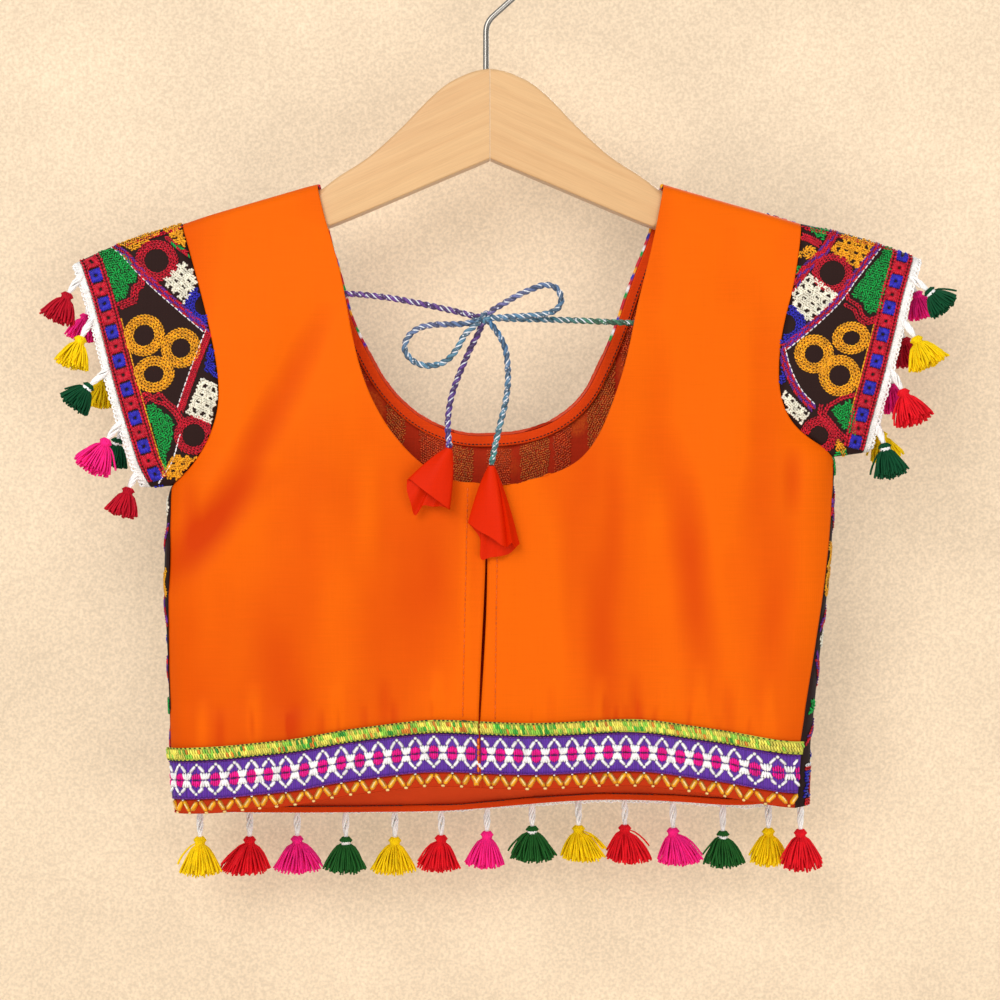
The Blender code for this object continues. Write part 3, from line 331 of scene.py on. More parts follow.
# Small sums

def looked_up(table, at):
    """The value beside a number in a table of pairs, between its rows in proportion."""
    rows = sorted(table)
    if at <= rows[0][0]:
        return rows[0][1]
    for (a, first), (b, second) in zip(rows, rows[1:]):
        if at <= b:
            return first + (second - first) * (at - a) / (b - a)
    return rows[-1][1]


def eased(low, high, at):
    share = min(1.0, max(0.0, (at - low) / (high - low)))
    return share * share * (3 - 2 * share)


def spline(points, step):
    """Places about a step apart on a smooth curve through some points."""
    points = [Vector(p) for p in points]
    ends = [points[0] * 2 - points[1], *points, points[-1] * 2 - points[-2]]
    places = []
    for a, b, c, d in zip(ends, ends[1:], ends[2:], ends[3:]):
        count = max(1, round((c - b).length / step))
        for i in range(count):
            t = i / count
            squared = (a * 2 - b * 5 + c * 4 - d) * t * t
            cubed = (b * 3 - a - c * 3 + d) * t ** 3
            places.append((b * 2 + (c - a) * t + squared + cubed) / 2)
    return [*places, points[-1]]


def run_length(places):
    return sum((b - a).length for a, b in zip(places, places[1:]))


def turned_frames(places):
    """For each place of a path its direction and two directions across it that never twist."""
    directions = []
    for i in range(len(places)):
        ahead = places[min(i + 1, len(places) - 1)] - places[max(i - 1, 0)]
        directions.append(ahead.normalized())
    across = directions[0].orthogonal().normalized()
    frames = []
    for direction in directions:
        across = (across - direction * across.dot(direction)).normalized()
        frames.append((direction, across, direction.cross(across)))
    return frames


def round_by(across, deep, a):
    """The direction at an angle in the plane of two others."""
    return across * math.cos(a) + deep * math.sin(a)


def placed(x, y, along, across, tilt):
    """The place at some distances along and across a tilted plan from its middle."""
    return (
        x + along * math.cos(tilt) - across * math.sin(tilt),
        y + along * math.sin(tilt) + across * math.cos(tilt),
    )


def toned(colour, tone):
    return tuple(c * tone for c in colour)


SHARED = {}


def shared(maker):
    """What a function makes, made the first time that it is asked for."""
    if maker not in SHARED:
        SHARED[maker] = maker()
    return SHARED[maker]


# Node trees

def add_node(tree, kind, inputs=None, **settings):
    """A node with its settings, its input values and the sockets linked into it."""
    node = tree.nodes.new(kind)
    for name, value in settings.items():
        setattr(node, name, value)
    for name, value in (inputs or {}).items():
        if isinstance(value, bpy.types.NodeSocket):
            tree.links.new(value, node.inputs[name])
        else:
            node.inputs[name].default_value = value
    return node


def new_group(name, kind, inputs, outputs):
    """A node group with its named sockets, its input node and its output node."""
    group = bpy.data.node_groups.new(name, kind)
    for in_out, sockets in (("INPUT", inputs), ("OUTPUT", outputs)):
        for label, socket_kind, value in sockets:
            socket = group.interface.new_socket(
                name=label, in_out=in_out, socket_type=f"NodeSocket{socket_kind}"
            )
            if value is not None:
                socket.default_value = value
    return group, group.nodes.new("NodeGroupInput"), group.nodes.new("NodeGroupOutput")


def math_node(tree, operation, first, second):
    return add_node(tree, "ShaderNodeMath", {0: first, 1: second}, operation=operation).outputs[0]


def plus(tree, first, second):
    return math_node(tree, "ADD", first, second)


def minus(tree, first, second):
    return math_node(tree, "SUBTRACT", first, second)


def times(tree, first, second):
    return math_node(tree, "MULTIPLY", first, second)


def remap(tree, value, low, high, to_low, to_high):
    return add_node(
        tree, "ShaderNodeMapRange",
        {"Value": value, "From Min": low, "From Max": high, "To Min": to_low, "To Max": to_high},
    ).outputs["Result"]


def mixed(tree, factor, first, second, blend_type="MIX"):
    node = add_node(
        tree, "ShaderNodeMix", {0: factor, 6: first, 7: second}, data_type="RGBA", blend_type=blend_type
    )
    return node.outputs[2]


def stretched(tree, vector, scale):
    return add_node(
        tree, "ShaderNodeMapping", {"Vector": vector, "Scale": scale}, vector_type="POINT"
    ).outputs["Vector"]


def noise(tree, vector, scale, detail=2.0, roughness=0.5):
    return add_node(
        tree, "ShaderNodeTexNoise",
        {"Vector": vector, "Scale": scale, "Detail": detail, "Roughness": roughness},
    ).outputs["Fac"]


def streaks(tree, vector, scale, detail=2.0, roughness=0.5):
    """Noise that is finer in one direction than in another."""
    return noise(tree, stretched(tree, vector, scale), 1.0, detail, roughness)


def cells(tree, vector, scale, randomness):
    """The distance from the middle of the nearest of many small cells."""
    return add_node(
        tree, "ShaderNodeTexVoronoi", {"Vector": vector, "Scale": scale, "Randomness": randomness}
    ).outputs["Distance"]


def wave(tree, vector, direction, pitch):
    """Bands across a vector in metres: one full wave in each pitch."""
    scale = math_node(tree, "DIVIDE", 2 * math.pi / 20, pitch)
    return add_node(
        tree, "ShaderNodeTexWave", {"Vector": vector, "Scale": scale, "Distortion": 0.0},
        bands_direction=direction,
    ).outputs["Fac"]


def weave_group():
    """Plain weave with thick and thin places in its threads, and painted shade in the low places between its
    thread crossings.
    """
    group, start, end = new_group(
        "Slub weave", "ShaderNodeTree",
        [
            ("Vector", "Vector", None), ("Pitch", "Float", 0.00045),
            ("Slubs", "Float", 0.5), ("Blotches", "Float", 0.5),
        ],
        [("Shade", "Float", None), ("Height", "Float", None)],
    )
    vector, pitch = start.outputs["Vector"], start.outputs["Pitch"]
    crossings = times(group, wave(group, vector, "X", pitch), wave(group, vector, "Y", pitch))
    level = times(group, streaks(group, vector, (55, 1500, 1), 3.0), 0.65)
    upright = times(group, streaks(group, vector, (1700, 40, 1)), 0.35)
    uneven = times(group, minus(group, plus(group, level, upright), 0.5), start.outputs["Slubs"])
    blotches = minus(group, noise(group, vector, 16.0, 3.0), 0.5)
    broad = times(group, blotches, start.outputs["Blotches"])
    shade = plus(group, 1.0, plus(group, uneven, broad))
    # painted shade: the weave is a little darker where its threads sink between crossings
    darker = times(group, minus(group, crossings, 0.4), 0.05)
    group.links.new(plus(group, shade, darker), end.inputs["Shade"])
    group.links.new(plus(group, crossings, times(group, uneven, 2.5)), end.inputs["Height"])
    return group


def fibre_group():
    """Fine fibres and soft lumps of spun thread."""
    group, start, end = new_group(
        "Spun fibre", "ShaderNodeTree",
        [("Vector", "Vector", None), ("Fineness", "Float", 2400.0)],
        [("Shade", "Float", None), ("Height", "Float", None)],
    )
    vector, fine = start.outputs["Vector"], start.outputs["Fineness"]
    fibres = noise(group, vector, fine, 2.0, 0.6)
    lumps = noise(group, vector, times(group, fine, 0.12))
    total = plus(group, times(group, fibres, 0.5), times(group, lumps, 0.5))
    group.links.new(remap(group, total, 0.3, 0.7, 0.7, 1.22), end.inputs["Shade"])
    group.links.new(total, end.inputs["Height"])
    return group


def grain_group():
    """Long growth lines of planed wood along a sloping arm."""
    group, start, end = new_group(
        "Planed wood", "ShaderNodeTree",
        [("Vector", "Vector", None), ("Lines", "Float", 1.0)],
        [("Grain", "Float", None), ("Pores", "Float", None)],
    )
    vector = start.outputs["Vector"]
    drift = streaks(group, vector, (5, 16, 16))
    lines = streaks(group, vector, (7, 150, 240), 3.0, 0.55)
    pores = streaks(group, vector, (60, 1800, 2400), 2.0, 0.6)
    rings = plus(group, times(group, lines, 0.75), times(group, drift, 0.35))
    strength = times(group, remap(group, rings, 0.42, 0.66, 0.0, 1.0), start.outputs["Lines"])
    group.links.new(strength, end.inputs["Grain"])
    group.links.new(remap(group, pores, 0.35, 0.6, 0.0, 1.0), end.inputs["Pores"])
    return group


class Finish:
    """A new material with its Principled shader and ways to feed it."""

    def __init__(self, name, **values):
        self.material = bpy.data.materials.new(name)
        self.material.use_nodes = True
        self.tree = self.material.node_tree
        self.shader = self.tree.nodes["Principled BSDF"]
        for socket, value in values.items():
            label = socket.replace("_", " ").title().replace("Ior", "IOR")
            self.shader.inputs[label].default_value = value

    def space(self):
        """Places in the piece's own space."""
        return add_node(self.tree, "ShaderNodeTexCoord").outputs["Object"]

    def cloth(self):
        """Places on the piece's cloth map."""
        return add_node(self.tree, "ShaderNodeUVMap", uv_map="cloth").outputs["UV"]

    def attribute(self, name, output="Color"):
        return add_node(self.tree, "ShaderNodeAttribute", attribute_name=name).outputs[output]

    def effect(self, maker, inputs):
        return add_node(self.tree, "ShaderNodeGroup", inputs, node_tree=shared(maker)).outputs

    def feed(self, socket, value):
        self.tree.links.new(value, self.shader.inputs[socket])

    def base(self):
        """What feeds the colour so far."""
        return self.shader.inputs["Base Color"].links[0].from_socket

    def bump(self, height, distance, strength):
        node = add_node(
            self.tree, "ShaderNodeBump", {"Height": height, "Distance": distance, "Strength": strength}
        )
        self.feed("Normal", node.outputs["Normal"])

    def spin(self, colour, fineness, relief, strength):
        """Gives the surface a colour and the fibres of spun thread."""
        fibre = self.effect(fibre_group, {"Vector": self.space(), "Fineness": fineness})
        self.feed("Base Color", shaded(self, colour, fibre["Shade"]))
        self.bump(fibre["Height"], relief * MM, strength)


def shaded(finish, colour, shade):
    """A colour made lighter and darker by a shade about 1."""
    return mixed(finish.tree, 1.0, colour, shade, "MULTIPLY")


CLOTHS = {
    # finish: the setting of its colour, roughness, sheen, slubs, blotches, relief
    "orange cloth": ("orange", 0.6, 0.0, 0.2, 0.12, 0.03),
    "rust cloth": ("rust", 0.7, 0.0, 0.35, 0.2, 0.05),
    "facing cloth": ("facing", 0.7, 0.0, 0.5, 0.5, 0.05),
    "ground cloth": ("ground", 0.55, 0.0, 0.3, 0.2, 0.05),
    "lining cloth": ("lining", 0.72, 0.0, 0.5, 0.35, 0.08),
    "lime braid": ("lime", 0.6, 0.1, 0.8, 0.6, 0.1),
    "latkan cloth": ("latkan", 0.5, 0.0, 0.2, 0.25, 0.04),
}


def cloth_finish(name):
    """Woven cloth on the piece's own cloth map."""
    cloth = bpy.context.scene.choli_cloth
    setting, roughness, sheen, slubs, blotches, relief = CLOTHS[name]
    colour = (*getattr(cloth, setting), 1)
    finish = Finish(
        name, roughness=roughness, sheen_weight=sheen, sheen_roughness=0.45, sheen_tint=colour,
        specular_ior_level=0.06,
    )
    weave = finish.effect(
        weave_group, {"Vector": finish.cloth(), "Pitch": cloth.weave, "Slubs": slubs, "Blotches": blotches}
    )
    finish.feed("Base Color", shaded(finish, colour, weave["Shade"]))
    finish.bump(weave["Height"], relief * MM, 0.8)
    return finish


def thread_finish(name):
    """Embroidery thread that takes its colour from the stitches."""
    finish = Finish(name, roughness=0.4, sheen_weight=0.05, sheen_roughness=0.4, specular_ior_level=0.3)
    finish.spin(finish.attribute("thread"), 2400.0, 0.08, 0.6)
    return finish.material


def yarn_finish(name, colour):
    """Soft yarn of one colour."""
    finish = Finish(
        name, roughness=0.75, sheen_weight=0.2, sheen_roughness=0.35, sheen_tint=(*colour, 1),
        specular_ior_level=0.15,
    )
    finish.spin((*colour, 1), 1800.0, 0.1, 0.7)
    return finish.material


def kept(name, maker, *values):
    """A material by name, made the first time that it is asked for."""
    return bpy.data.materials.get(name) or maker(name, *values)


def yarn_material(colour):
    return kept(f"yarn {colour}", yarn_finish, linear(YARN[colour]))


# Pieces

def evaluated_mesh(obj):
    """A plain mesh of an object with its modifiers applied."""
    graph = bpy.context.evaluated_depsgraph_get()
    graph.update()
    return bpy.data.meshes.new_from_object(obj.evaluated_get(graph), depsgraph=graph)


def new_object(name, mesh):
    obj = bpy.data.objects.new(name, mesh)
    bpy.context.scene.collection.objects.link(obj)
    return obj


def finished(name, work):
    """A new object out of a bmesh, which is freed."""
    mesh = bpy.data.meshes.new(name)
    work.to_mesh(mesh)
    work.free()
    return new_object(name, mesh)


def baked(obj):
    """The object with its modifiers applied and removed."""
    rough, fine = obj.data, evaluated_mesh(obj)
    obj.modifiers.clear()
    obj.data = fine
    fine.name = obj.name
    bpy.data.meshes.remove(rough)
    return obj


def dressed(obj, slot, *nodes):
    """Seats a finished piece on the frame and hides the solids that it stands for; the slot that names its
    finish is not used.
    """
    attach(obj, "root")
    if nodes:
        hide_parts(*nodes)
    return obj


def joined(name, objects):
    """One object out of several, each keeping its material."""
    work = bmesh.new()
    materials = []
    for obj in objects:
        first = len(materials)
        materials.extend(obj.data.materials)
        before = len(work.faces)
        work.from_mesh(obj.data)
        work.faces.ensure_lookup_table()
        for face in work.faces[before:]:
            face.material_index += first
    whole = finished(name, work)
    for material in materials:
        whole.data.materials.append(material)
    for obj in objects:
        old = obj.data
        bpy.data.objects.remove(obj)
        bpy.data.meshes.remove(old)
    return whole


def merged_copy(node):
    """A solid's mesh with its loose triangles joined."""
    work = bmesh.new()
    work.from_mesh(NODES[node].data)
    bmesh.ops.remove_doubles(work, verts=work.verts[:], dist=1e-6)
    work.normal_update()
    return work


FLAT_HALF = 0.125  # half the width over which the body is flat, in metres
WAIST_Z = -0.28  # below this height the body's corners are full
ARM_X = 0.172  # beyond this the cloth is a sleeve's


def middle_of(place):
    """A point inside the blouse, level with a place on its cloth."""
    top = SHOULDER_Z - SHOULDER_SLOPE * max(0.0, abs(place.x) / MM - SHOULDER_X) - 8
    in_body = place.z <= WAIST_Z and abs(place.x) <= ARM_X
    x = max(-FLAT_HALF, min(FLAT_HALF, place.x)) if in_body else place.x
    return Vector((x, 0, min(place.z, top * MM)))


def outwardness(region):
    """How much of a region of faces looks out of the blouse rather than into it."""
    total = 0
    for face in region:
        middle = face.calc_center_median()
        total += face.calc_area() * face.normal.dot(middle - middle_of(middle))
    return total


def level_edge(edge, limit):
    return len(edge.link_faces) == 2 and edge.calc_face_angle() < limit


def skin_faces(work, outer, limit_deg):
    """The outer or the inner broad face of a cloth wall."""
    limit = math.radians(limit_deg)
    seen, regions = set(), []
    for first in work.faces:
        if first in seen:
            continue
        seen.add(first)
        stack, region = [first], []
        while stack:
            face = stack.pop()
            region.append(face)
            for edge in face.edges:
                if not level_edge(edge, limit):
                    continue
                for beside in edge.link_faces:
                    if beside not in seen:
                        seen.add(beside)
                        stack.append(beside)
        regions.append(region)
    regions.sort(key=lambda region: -sum(face.calc_area() for face in region))
    inner_side, outer_side = sorted(regions[:2], key=outwardness)
    return set(outer_side if outer else inner_side)


LEVEL_DEG = 6.0  # below this bend two triangles may share another diagonal
FACE_DEG = 70  # how bent a four-sided face may be
SHAPE_DEG = 80  # how skewed it may be


def cloth_skin(node, outer=True, limit_deg=45):
    """One broad face of a cloth wall as an open mesh of mostly four-sided faces."""
    work = merged_copy(node)
    keep = skin_faces(work, outer, limit_deg)
    bmesh.ops.delete(work, geom=[f for f in work.faces if f not in keep], context="FACES")
    level = [edge for edge in work.edges if level_edge(edge, math.radians(LEVEL_DEG))]
    bmesh.ops.beautify_fill(work, faces=work.faces[:], edges=level, method="AREA")
    bmesh.ops.join_triangles(
        work, faces=work.faces[:], angle_face_threshold=math.radians(FACE_DEG),
        angle_shape_threshold=math.radians(SHAPE_DEG),
    )
    return work


FITTING_ROUNDS = 2


def smooth_through(name, work, levels):
    """A fine smooth mesh that passes through the points of a coarse one."""
    obj = finished(name, work)
    smooth = obj.modifiers.new("Smooth", "SUBSURF")
    smooth.levels = smooth.render_levels = levels
    smooth.boundary_smooth = "PRESERVE_CORNERS"
    vertices = obj.data.vertices
    goals = [v.co.copy() for v in vertices]
    for _ in range(FITTING_ROUNDS):
        fine = evaluated_mesh(obj)
        shifts = [goal - fine.vertices[i].co for i, goal in enumerate(goals)]
        for vertex, shift in zip(vertices, shifts):
            vertex.co += shift
        bpy.data.meshes.remove(fine)
    return baked(obj)


CORNER_DEPTH = 0.02  # of the body behind and before its rounded corners, in metres
CORNER_SPREAD = 0.2  # what a place's own depth adds to that
CLOTH_A_RADIAN = 0.028  # metres of cloth in each radian round a corner


def unrolled(place):
    """A place's distance across and up the cloth, as if it was laid flat."""
    around = max(0.0, abs(place.x) - FLAT_HALF)
    turn = math.atan2(around, CORNER_DEPTH + abs(place.y) * CORNER_SPREAD) * CLOTH_A_RADIAN
    return math.copysign(min(abs(place.x), FLAT_HALF) + turn, place.x), place.z


def cloth_map(mesh):
    """Gives a piece its own map, in metres of cloth."""
    layer = mesh.uv_layers.new(name="cloth")
    flat = [unrolled(v.co) for v in mesh.vertices]
    for loop in mesh.loops:
        layer.data[loop.index].uv = flat[loop.vertex_index]


# Geometry node trees for what repeats or follows a path

def geometry_tree(name, inputs):
    """A geometry tree with its named inputs, and a function that ends it."""
    sockets = [("Geometry", "Geometry", None), *inputs, ("Material", "Material", None)]
    group, start, end = new_group(name, "GeometryNodeTree", sockets, [("Geometry", "Geometry", None)])
    group.is_modifier = True

    def finish(geometry):
        real = add_node(group, "GeometryNodeRealizeInstances", {"Geometry": geometry})
        smooth = add_node(group, "GeometryNodeSetShadeSmooth", {"Geometry": real.outputs[0]})
        painted = add_node(
            group, "GeometryNodeSetMaterial",
            {"Geometry": smooth.outputs[0], "Material": start.outputs["Material"]},
        )
        group.links.new(painted.outputs[0], end.inputs["Geometry"])
    return group, start, finish


def named(tree, name, data_type="FLOAT"):
    node = add_node(tree, "GeometryNodeInputNamedAttribute", {"Name": name}, data_type=data_type)
    return node.outputs["Attribute"]


def turned_to(tree, along):
    """The turn that lays a shape along a direction, facing as the points say."""
    return add_node(
        tree, "FunctionNodeAxesToRotation",
        {"Primary Axis": along, "Secondary Axis": named(tree, "facing", "FLOAT_VECTOR")},
        primary_axis="X", secondary_axis="Z",
    ).outputs[0]


def copies(tree, points, shape, turn, size):
    """A shape laid on each point."""
    found = add_node(tree, "GeometryNodeObjectInfo", {"Object": shape})
    return add_node(
        tree, "GeometryNodeInstanceOnPoints",
        {"Points": points, "Instance": found.outputs["Geometry"], "Rotation": turn, "Scale": size},
    ).outputs[0]


def tube_tree():
    """Round threads along the lines of a mesh, each as thick as its points say."""
    group, start, finish = geometry_tree("Threads along lines", [("Sides", "Int", 5)])
    curve = add_node(group, "GeometryNodeMeshToCurve", {"Mesh": start.outputs["Geometry"]})
    ring = add_node(
        group, "GeometryNodeCurvePrimitiveCircle", {"Resolution": start.outputs["Sides"], "Radius": 1.0}
    )
    tube = add_node(
        group, "GeometryNodeCurveToMesh",
        {
            "Curve": curve.outputs[0], "Profile Curve": ring.outputs[0],
            "Scale": named(group, "radius"), "Fill Caps": True,
        },
    )
    finish(tube.outputs[0])
    return group


def stitch_tree():
    """A stitch on each point, laid along its direction and facing out of the cloth."""
    group, start, finish = geometry_tree("Stitches on points", [("Stitch", "Object", None)])
    points = add_node(group, "GeometryNodeMeshToPoints", {"Mesh": start.outputs["Geometry"], "Radius": 0.001})
    turn = turned_to(group, named(group, "along", "FLOAT_VECTOR"))
    size = named(group, "size", "FLOAT_VECTOR")
    finish(copies(group, points.outputs[0], start.outputs["Stitch"], turn, size))
    return group


def picot_tree():
    """A crocheted loop at each step along the lines of a mesh, hanging the way that they face."""
    group, start, finish = geometry_tree(
        "Picots along a path",
        [("Picot", "Object", None), ("Pitch", "Float", 0.003), ("Uneven", "Float", 0.15)],
    )
    curve = add_node(group, "GeometryNodeMeshToCurve", {"Mesh": start.outputs["Geometry"]})
    steps = add_node(
        group, "GeometryNodeCurveToPoints", {"Curve": curve.outputs[0], "Length": start.outputs["Pitch"]},
        mode="LENGTH",
    )
    least = minus(group, 1.0, start.outputs["Uneven"])
    most = plus(group, 1.0, start.outputs["Uneven"])
    size = add_node(
        group, "FunctionNodeRandomValue", {"Min": least, "Max": most, "Seed": 5}, data_type="FLOAT"
    )
    turn = turned_to(group, steps.outputs["Tangent"])
    finish(copies(group, steps.outputs[0], start.outputs["Picot"], turn, size.outputs[1]))
    return group


def grown(name, mesh, tree_maker, **inputs):
    """An object whose geometry tree has been run and made a plain mesh."""
    tree = shared(tree_maker)
    obj = new_object(name, mesh)
    modifier = obj.modifiers.new("Geometry", "NODES")
    modifier.node_group = tree
    for item in tree.interface.items_tree:
        if item.in_out == "INPUT" and item.name in inputs:
            modifier[item.identifier] = inputs[item.name]
    return baked(obj)


def store(mesh, name, kind, values):
    """A named value on every point of a mesh."""
    layer = mesh.attributes.new(name, kind, "POINT")
    key = {"FLOAT": "value", "FLOAT_VECTOR": "vector", "FLOAT_COLOR": "color"}[kind]
    flat = values if kind == "FLOAT" else [number for value in values for number in value]
    layer.data.foreach_set(key, flat)


def line_mesh(name, lines):
    """A mesh of routes, each a row of places joined by edges."""
    places, edges = [], []
    for route in lines:
        first = len(places)
        places.extend(route)
        edges.extend((first + i, first + i + 1) for i in range(len(route) - 1))
    mesh = bpy.data.meshes.new(name)
    mesh.from_pydata(places, edges, [])
    return mesh


def threads(name, lines, material, sides):
    """Round threads: each line is its places, one radius or one for each place, and its colour."""
    radii, colours = [], []
    for route, radius, colour in lines:
        radii.extend(radius if hasattr(radius, "__len__") else [radius] * len(route))
        tints = colour if hasattr(colour[0], "__len__") else [colour] * len(route)
        colours.extend((*tint, 1) for tint in tints)
    mesh = line_mesh(name, [route for route, _, _ in lines])
    store(mesh, "radius", "FLOAT", radii)
    store(mesh, "thread", "FLOAT_COLOR", colours)
    return grown(name, mesh, tube_tree, Sides=sides, Material=material)


def stitch_shape():
    """The shape of one stitch: a thread that dips into the cloth at both ends."""
    mesh = bpy.data.meshes.new("stitch_shape")
    places = [(-0.5, 0, -0.2), (0.5, 0, -0.2)]
    for x in (-0.28, 0.28):
        places += [(x, -0.5, -0.1), (x, 0, 0.42), (x, 0.5, -0.1)]
    faces = [(0, 3, 2), (0, 4, 3), (0, 2, 4), (1, 5, 6), (1, 6, 7), (1, 7, 5)]
    faces += [(2, 3, 6, 5), (3, 4, 7, 6), (4, 2, 5, 7)]
    mesh.from_pydata(places, [], faces)
    mesh.update()
    return new_object("stitch_shape", mesh)


def picot_shape():
    """The shape of one crocheted loop, a ring of thread with a knot at its root."""
    white = linear(THREAD["white"])
    loop, knot = [], []
    for i in range(10):
        a = math.radians(18 + 36 * i)
        loop.append(Vector((math.sin(a), 0.35 * math.sin(2 * a), -0.75 + 0.95 * math.cos(a))) * MM)
    for i, a in enumerate((0, 1.6, 3.2, 4.8)):
        knot.append(Vector((0.5 * math.cos(a), 0.5 * math.sin(a), 0.1 * i)) * MM)
    thick = 0.46 * MM
    return threads("picot_shape", [(loop, thick, white), (knot, thick, white)], None, 5)


def clear_helpers():
    """Removes the single stitch and loop, once everything that repeats them is made."""
    for maker in (stitch_shape, picot_shape):
        if maker in SHARED:
            bpy.data.objects.remove(SHARED.pop(maker))


# Needlework: stitches that follow the cloth

HOLE_CLEAR = 1.0  # about the middle of a pierced fill's holes, in millimetres
LENGTH_SPREAD = (0.9, 1.12)
WIDTH_SPREAD = (0.92, 1.1)
LEAN_SPREAD = 0.09  # radians
LOOK_AHEAD = 0.6  # how far on a stitch's direction is felt for, in millimetres
WIDEST_JUMP = 2.4  # between those two places; more means that the cloth ends there
PALE_THREADS = ("white", "cream")


def flat_places(points):
    return [Vector((p[0], p[1], 0)) for p in points]


def smooth_route(points):
    """A flat route through some points; through two of them it is straight."""
    places = flat_places(points)
    return spline(places, 1.0) if len(places) > 2 else places


def heading(a, b):
    return math.atan2(b.y - a.y, b.x - a.x)


def stepped(places, pitch, start=0.0):
    """Places a pitch apart along a route, each with the route's angle there."""
    left = start
    for a, b in zip(places, places[1:]):
        run = (b - a).length
        if run < 1e-6:
            continue
        while left < run:
            yield a.lerp(b, left / run), heading(a, b)
            left += pitch
        left -= run


CHAIN_STEP = 0.62  # of the needle's stitch length, from link to link
CHAIN_SIDE = 0.42  # of the chain's width, from its middle to its leaning stitches
CHAIN_LEAN = 0.34  # radians
CHAIN_LENGTH = 0.82  # of a leaning stitch, as a share of the needle's stitch length
CHAIN_WIDTH = 0.8  # of a leaning stitch, as a share of the chain's width
RING_CORNERS = 2.2  # for each millimetre of radius
RING_TURN = 0.37  # of a corner, from one round to the next
RING_FULLNESS = 0.72  # the chain's width as a share of the way to the next round
ROSETTE_STITCHES = 6.5  # for each millimetre of its half width
ROSETTE_CORNER = 1.3  # how much further a rosette reaches at its corners
BAND_LEAN = 0.6  # radians
BAND_RUN = 3  # stitches of one colour


class Needle:
    """Sews stitches on cloth at places given in millimetres on a flat plan."""

    def __init__(self, land, seed, length=2.5, width=0.85, uneven=(0.62, 1.16)):
        self.land = land
        self.chance = random.Random(seed)
        self.length = length
        self.width = width
        self.uneven = uneven
        self.places, self.along, self.facing, self.sizes, self.colours = [], [], [], [], []

    def stitch(self, x, y, angle, colour, length, width, lift=0.3):
        """One stitch about a place; where the plan runs off the cloth there is none."""
        length = (length or self.length) * self.chance.uniform(*LENGTH_SPREAD)
        width = (width or self.width) * self.chance.uniform(*WIDTH_SPREAD)
        angle += self.chance.uniform(-LEAN_SPREAD, LEAN_SPREAD)
        here = self.land(x, y)
        ahead = self.land(x + LOOK_AHEAD * math.cos(angle), y + LOOK_AHEAD * math.sin(angle))
        if here is None or ahead is None:
            return
        along = ahead[0] - here[0]
        along -= here[1] * along.dot(here[1])
        if along.length < 1e-6 or (ahead[0] - here[0]).length > WIDEST_JUMP * MM:
            return
        low, high = self.uneven
        tone = self.chance.uniform((low + 1) / 2 if colour in PALE_THREADS else low, high)
        self.places.append(here[0] + here[1] * (lift * MM))
        self.along.append(along.normalized())
        self.facing.append(here[1])
        self.sizes.append((length * MM, width * MM, width * 0.95 * MM))
        self.colours.append((*(min(1.0, c) for c in toned(linear(THREAD[colour]), tone)), 1))

    def line(self, points, colour, gap=1.0, length=None, width=None):
        """Stitches end to end along a route."""
        length = length or self.length
        for at, angle in stepped(smooth_route(points), length * 0.86 * gap):
            self.stitch(at.x, at.y, angle, colour, length, width)

    def chain(self, points, colour, width):
        """A chain stitch: leaning pairs that make a row of links."""
        for at, angle in stepped(flat_places(points), self.length * CHAIN_STEP):
            side = Vector((-math.sin(angle), math.cos(angle), 0)) * (width * CHAIN_SIDE)
            for sign in (-1, 1):
                self.stitch(
                    at.x + side.x * sign, at.y + side.y * sign, angle - CHAIN_LEAN * sign, colour,
                    self.length * CHAIN_LENGTH, width * CHAIN_WIDTH,
                )

    def ring(self, x, y, inner, outer, colour, rows=3, squash=1.0, tilt=0.0):
        """Rounds of chain stitch between two radii."""
        step = (outer - inner) / rows
        for row in range(rows):
            radius = inner + step * (row + 0.5)
            count = max(10, int(radius * RING_CORNERS))
            points = []
            for i in range(count):
                a = 2 * math.pi * (i + RING_TURN * row) / count
                points.append(placed(x, y, radius * math.cos(a), radius * math.sin(a) * squash, tilt))
            self.chain([*points, points[0]], colour, step * RING_FULLNESS)

    def rosette(self, x, y, inner, outer, colour, turn=0.0):
        """Satin stitches that point at a small bare middle, trimmed to a square."""
        count = max(14, int(outer * ROSETTE_STITCHES))
        for i in range(count):
            a = 2 * math.pi * i / count
            reach = min(outer / max(abs(math.cos(a)), abs(math.sin(a))), outer * ROSETTE_CORNER)
            middle = (inner + reach) / 2
            self.stitch(
                x + middle * math.cos(a + turn), y + middle * math.sin(a + turn), a + turn, colour,
                reach - inner + 0.5, self.width * 1.05,
            )

    def fill(self, shape, colour, pitch=1.15, angle=None, holes=0.0, length=None, width=None):
        """A shape filled with short stitches, in rows or knotted every way, or pierced by holes."""
        xs, ys = zip(*shape)
        middle = (sum(xs) / len(xs), sum(ys) / len(ys))
        pitch = pitch * 0.86 if holes else pitch
        length = length or min(pitch * 1.75, 1.9 if holes else 9)
        width = width or (min(pitch * 1.2, 1.3) if holes else pitch * 0.86)
        edge = math.atan2(ys[1] - ys[0], xs[1] - xs[0])
        steps = int(max(max(xs) - min(xs), max(ys) - min(ys)) * 0.8 / pitch)
        chance = self.chance.uniform
        for i in range(-steps, steps + 1):
            for j in range(-steps, steps + 1):
                u, v = i * pitch + (j % 2) * pitch / 2, j * pitch
                x, y = placed(*middle, u, v, edge)
                x, y = x + chance(-0.2, 0.2), y + chance(-0.2, 0.2)
                if not inside(shape, x, y):
                    continue
                if holes:
                    away = Vector(((u / holes) % 1 - 0.5, (v / holes) % 1 - 0.5)) * holes
                    if away.length < HOLE_CLEAR:
                        continue
                    way = edge + math.atan2(away.y, away.x) + math.pi / 2 + chance(-0.5, 0.5)
                elif angle is None:
                    way = chance(0, math.pi)
                else:
                    way = angle + chance(-0.35, 0.35)
                self.stitch(x, y, way, colour, length, width)

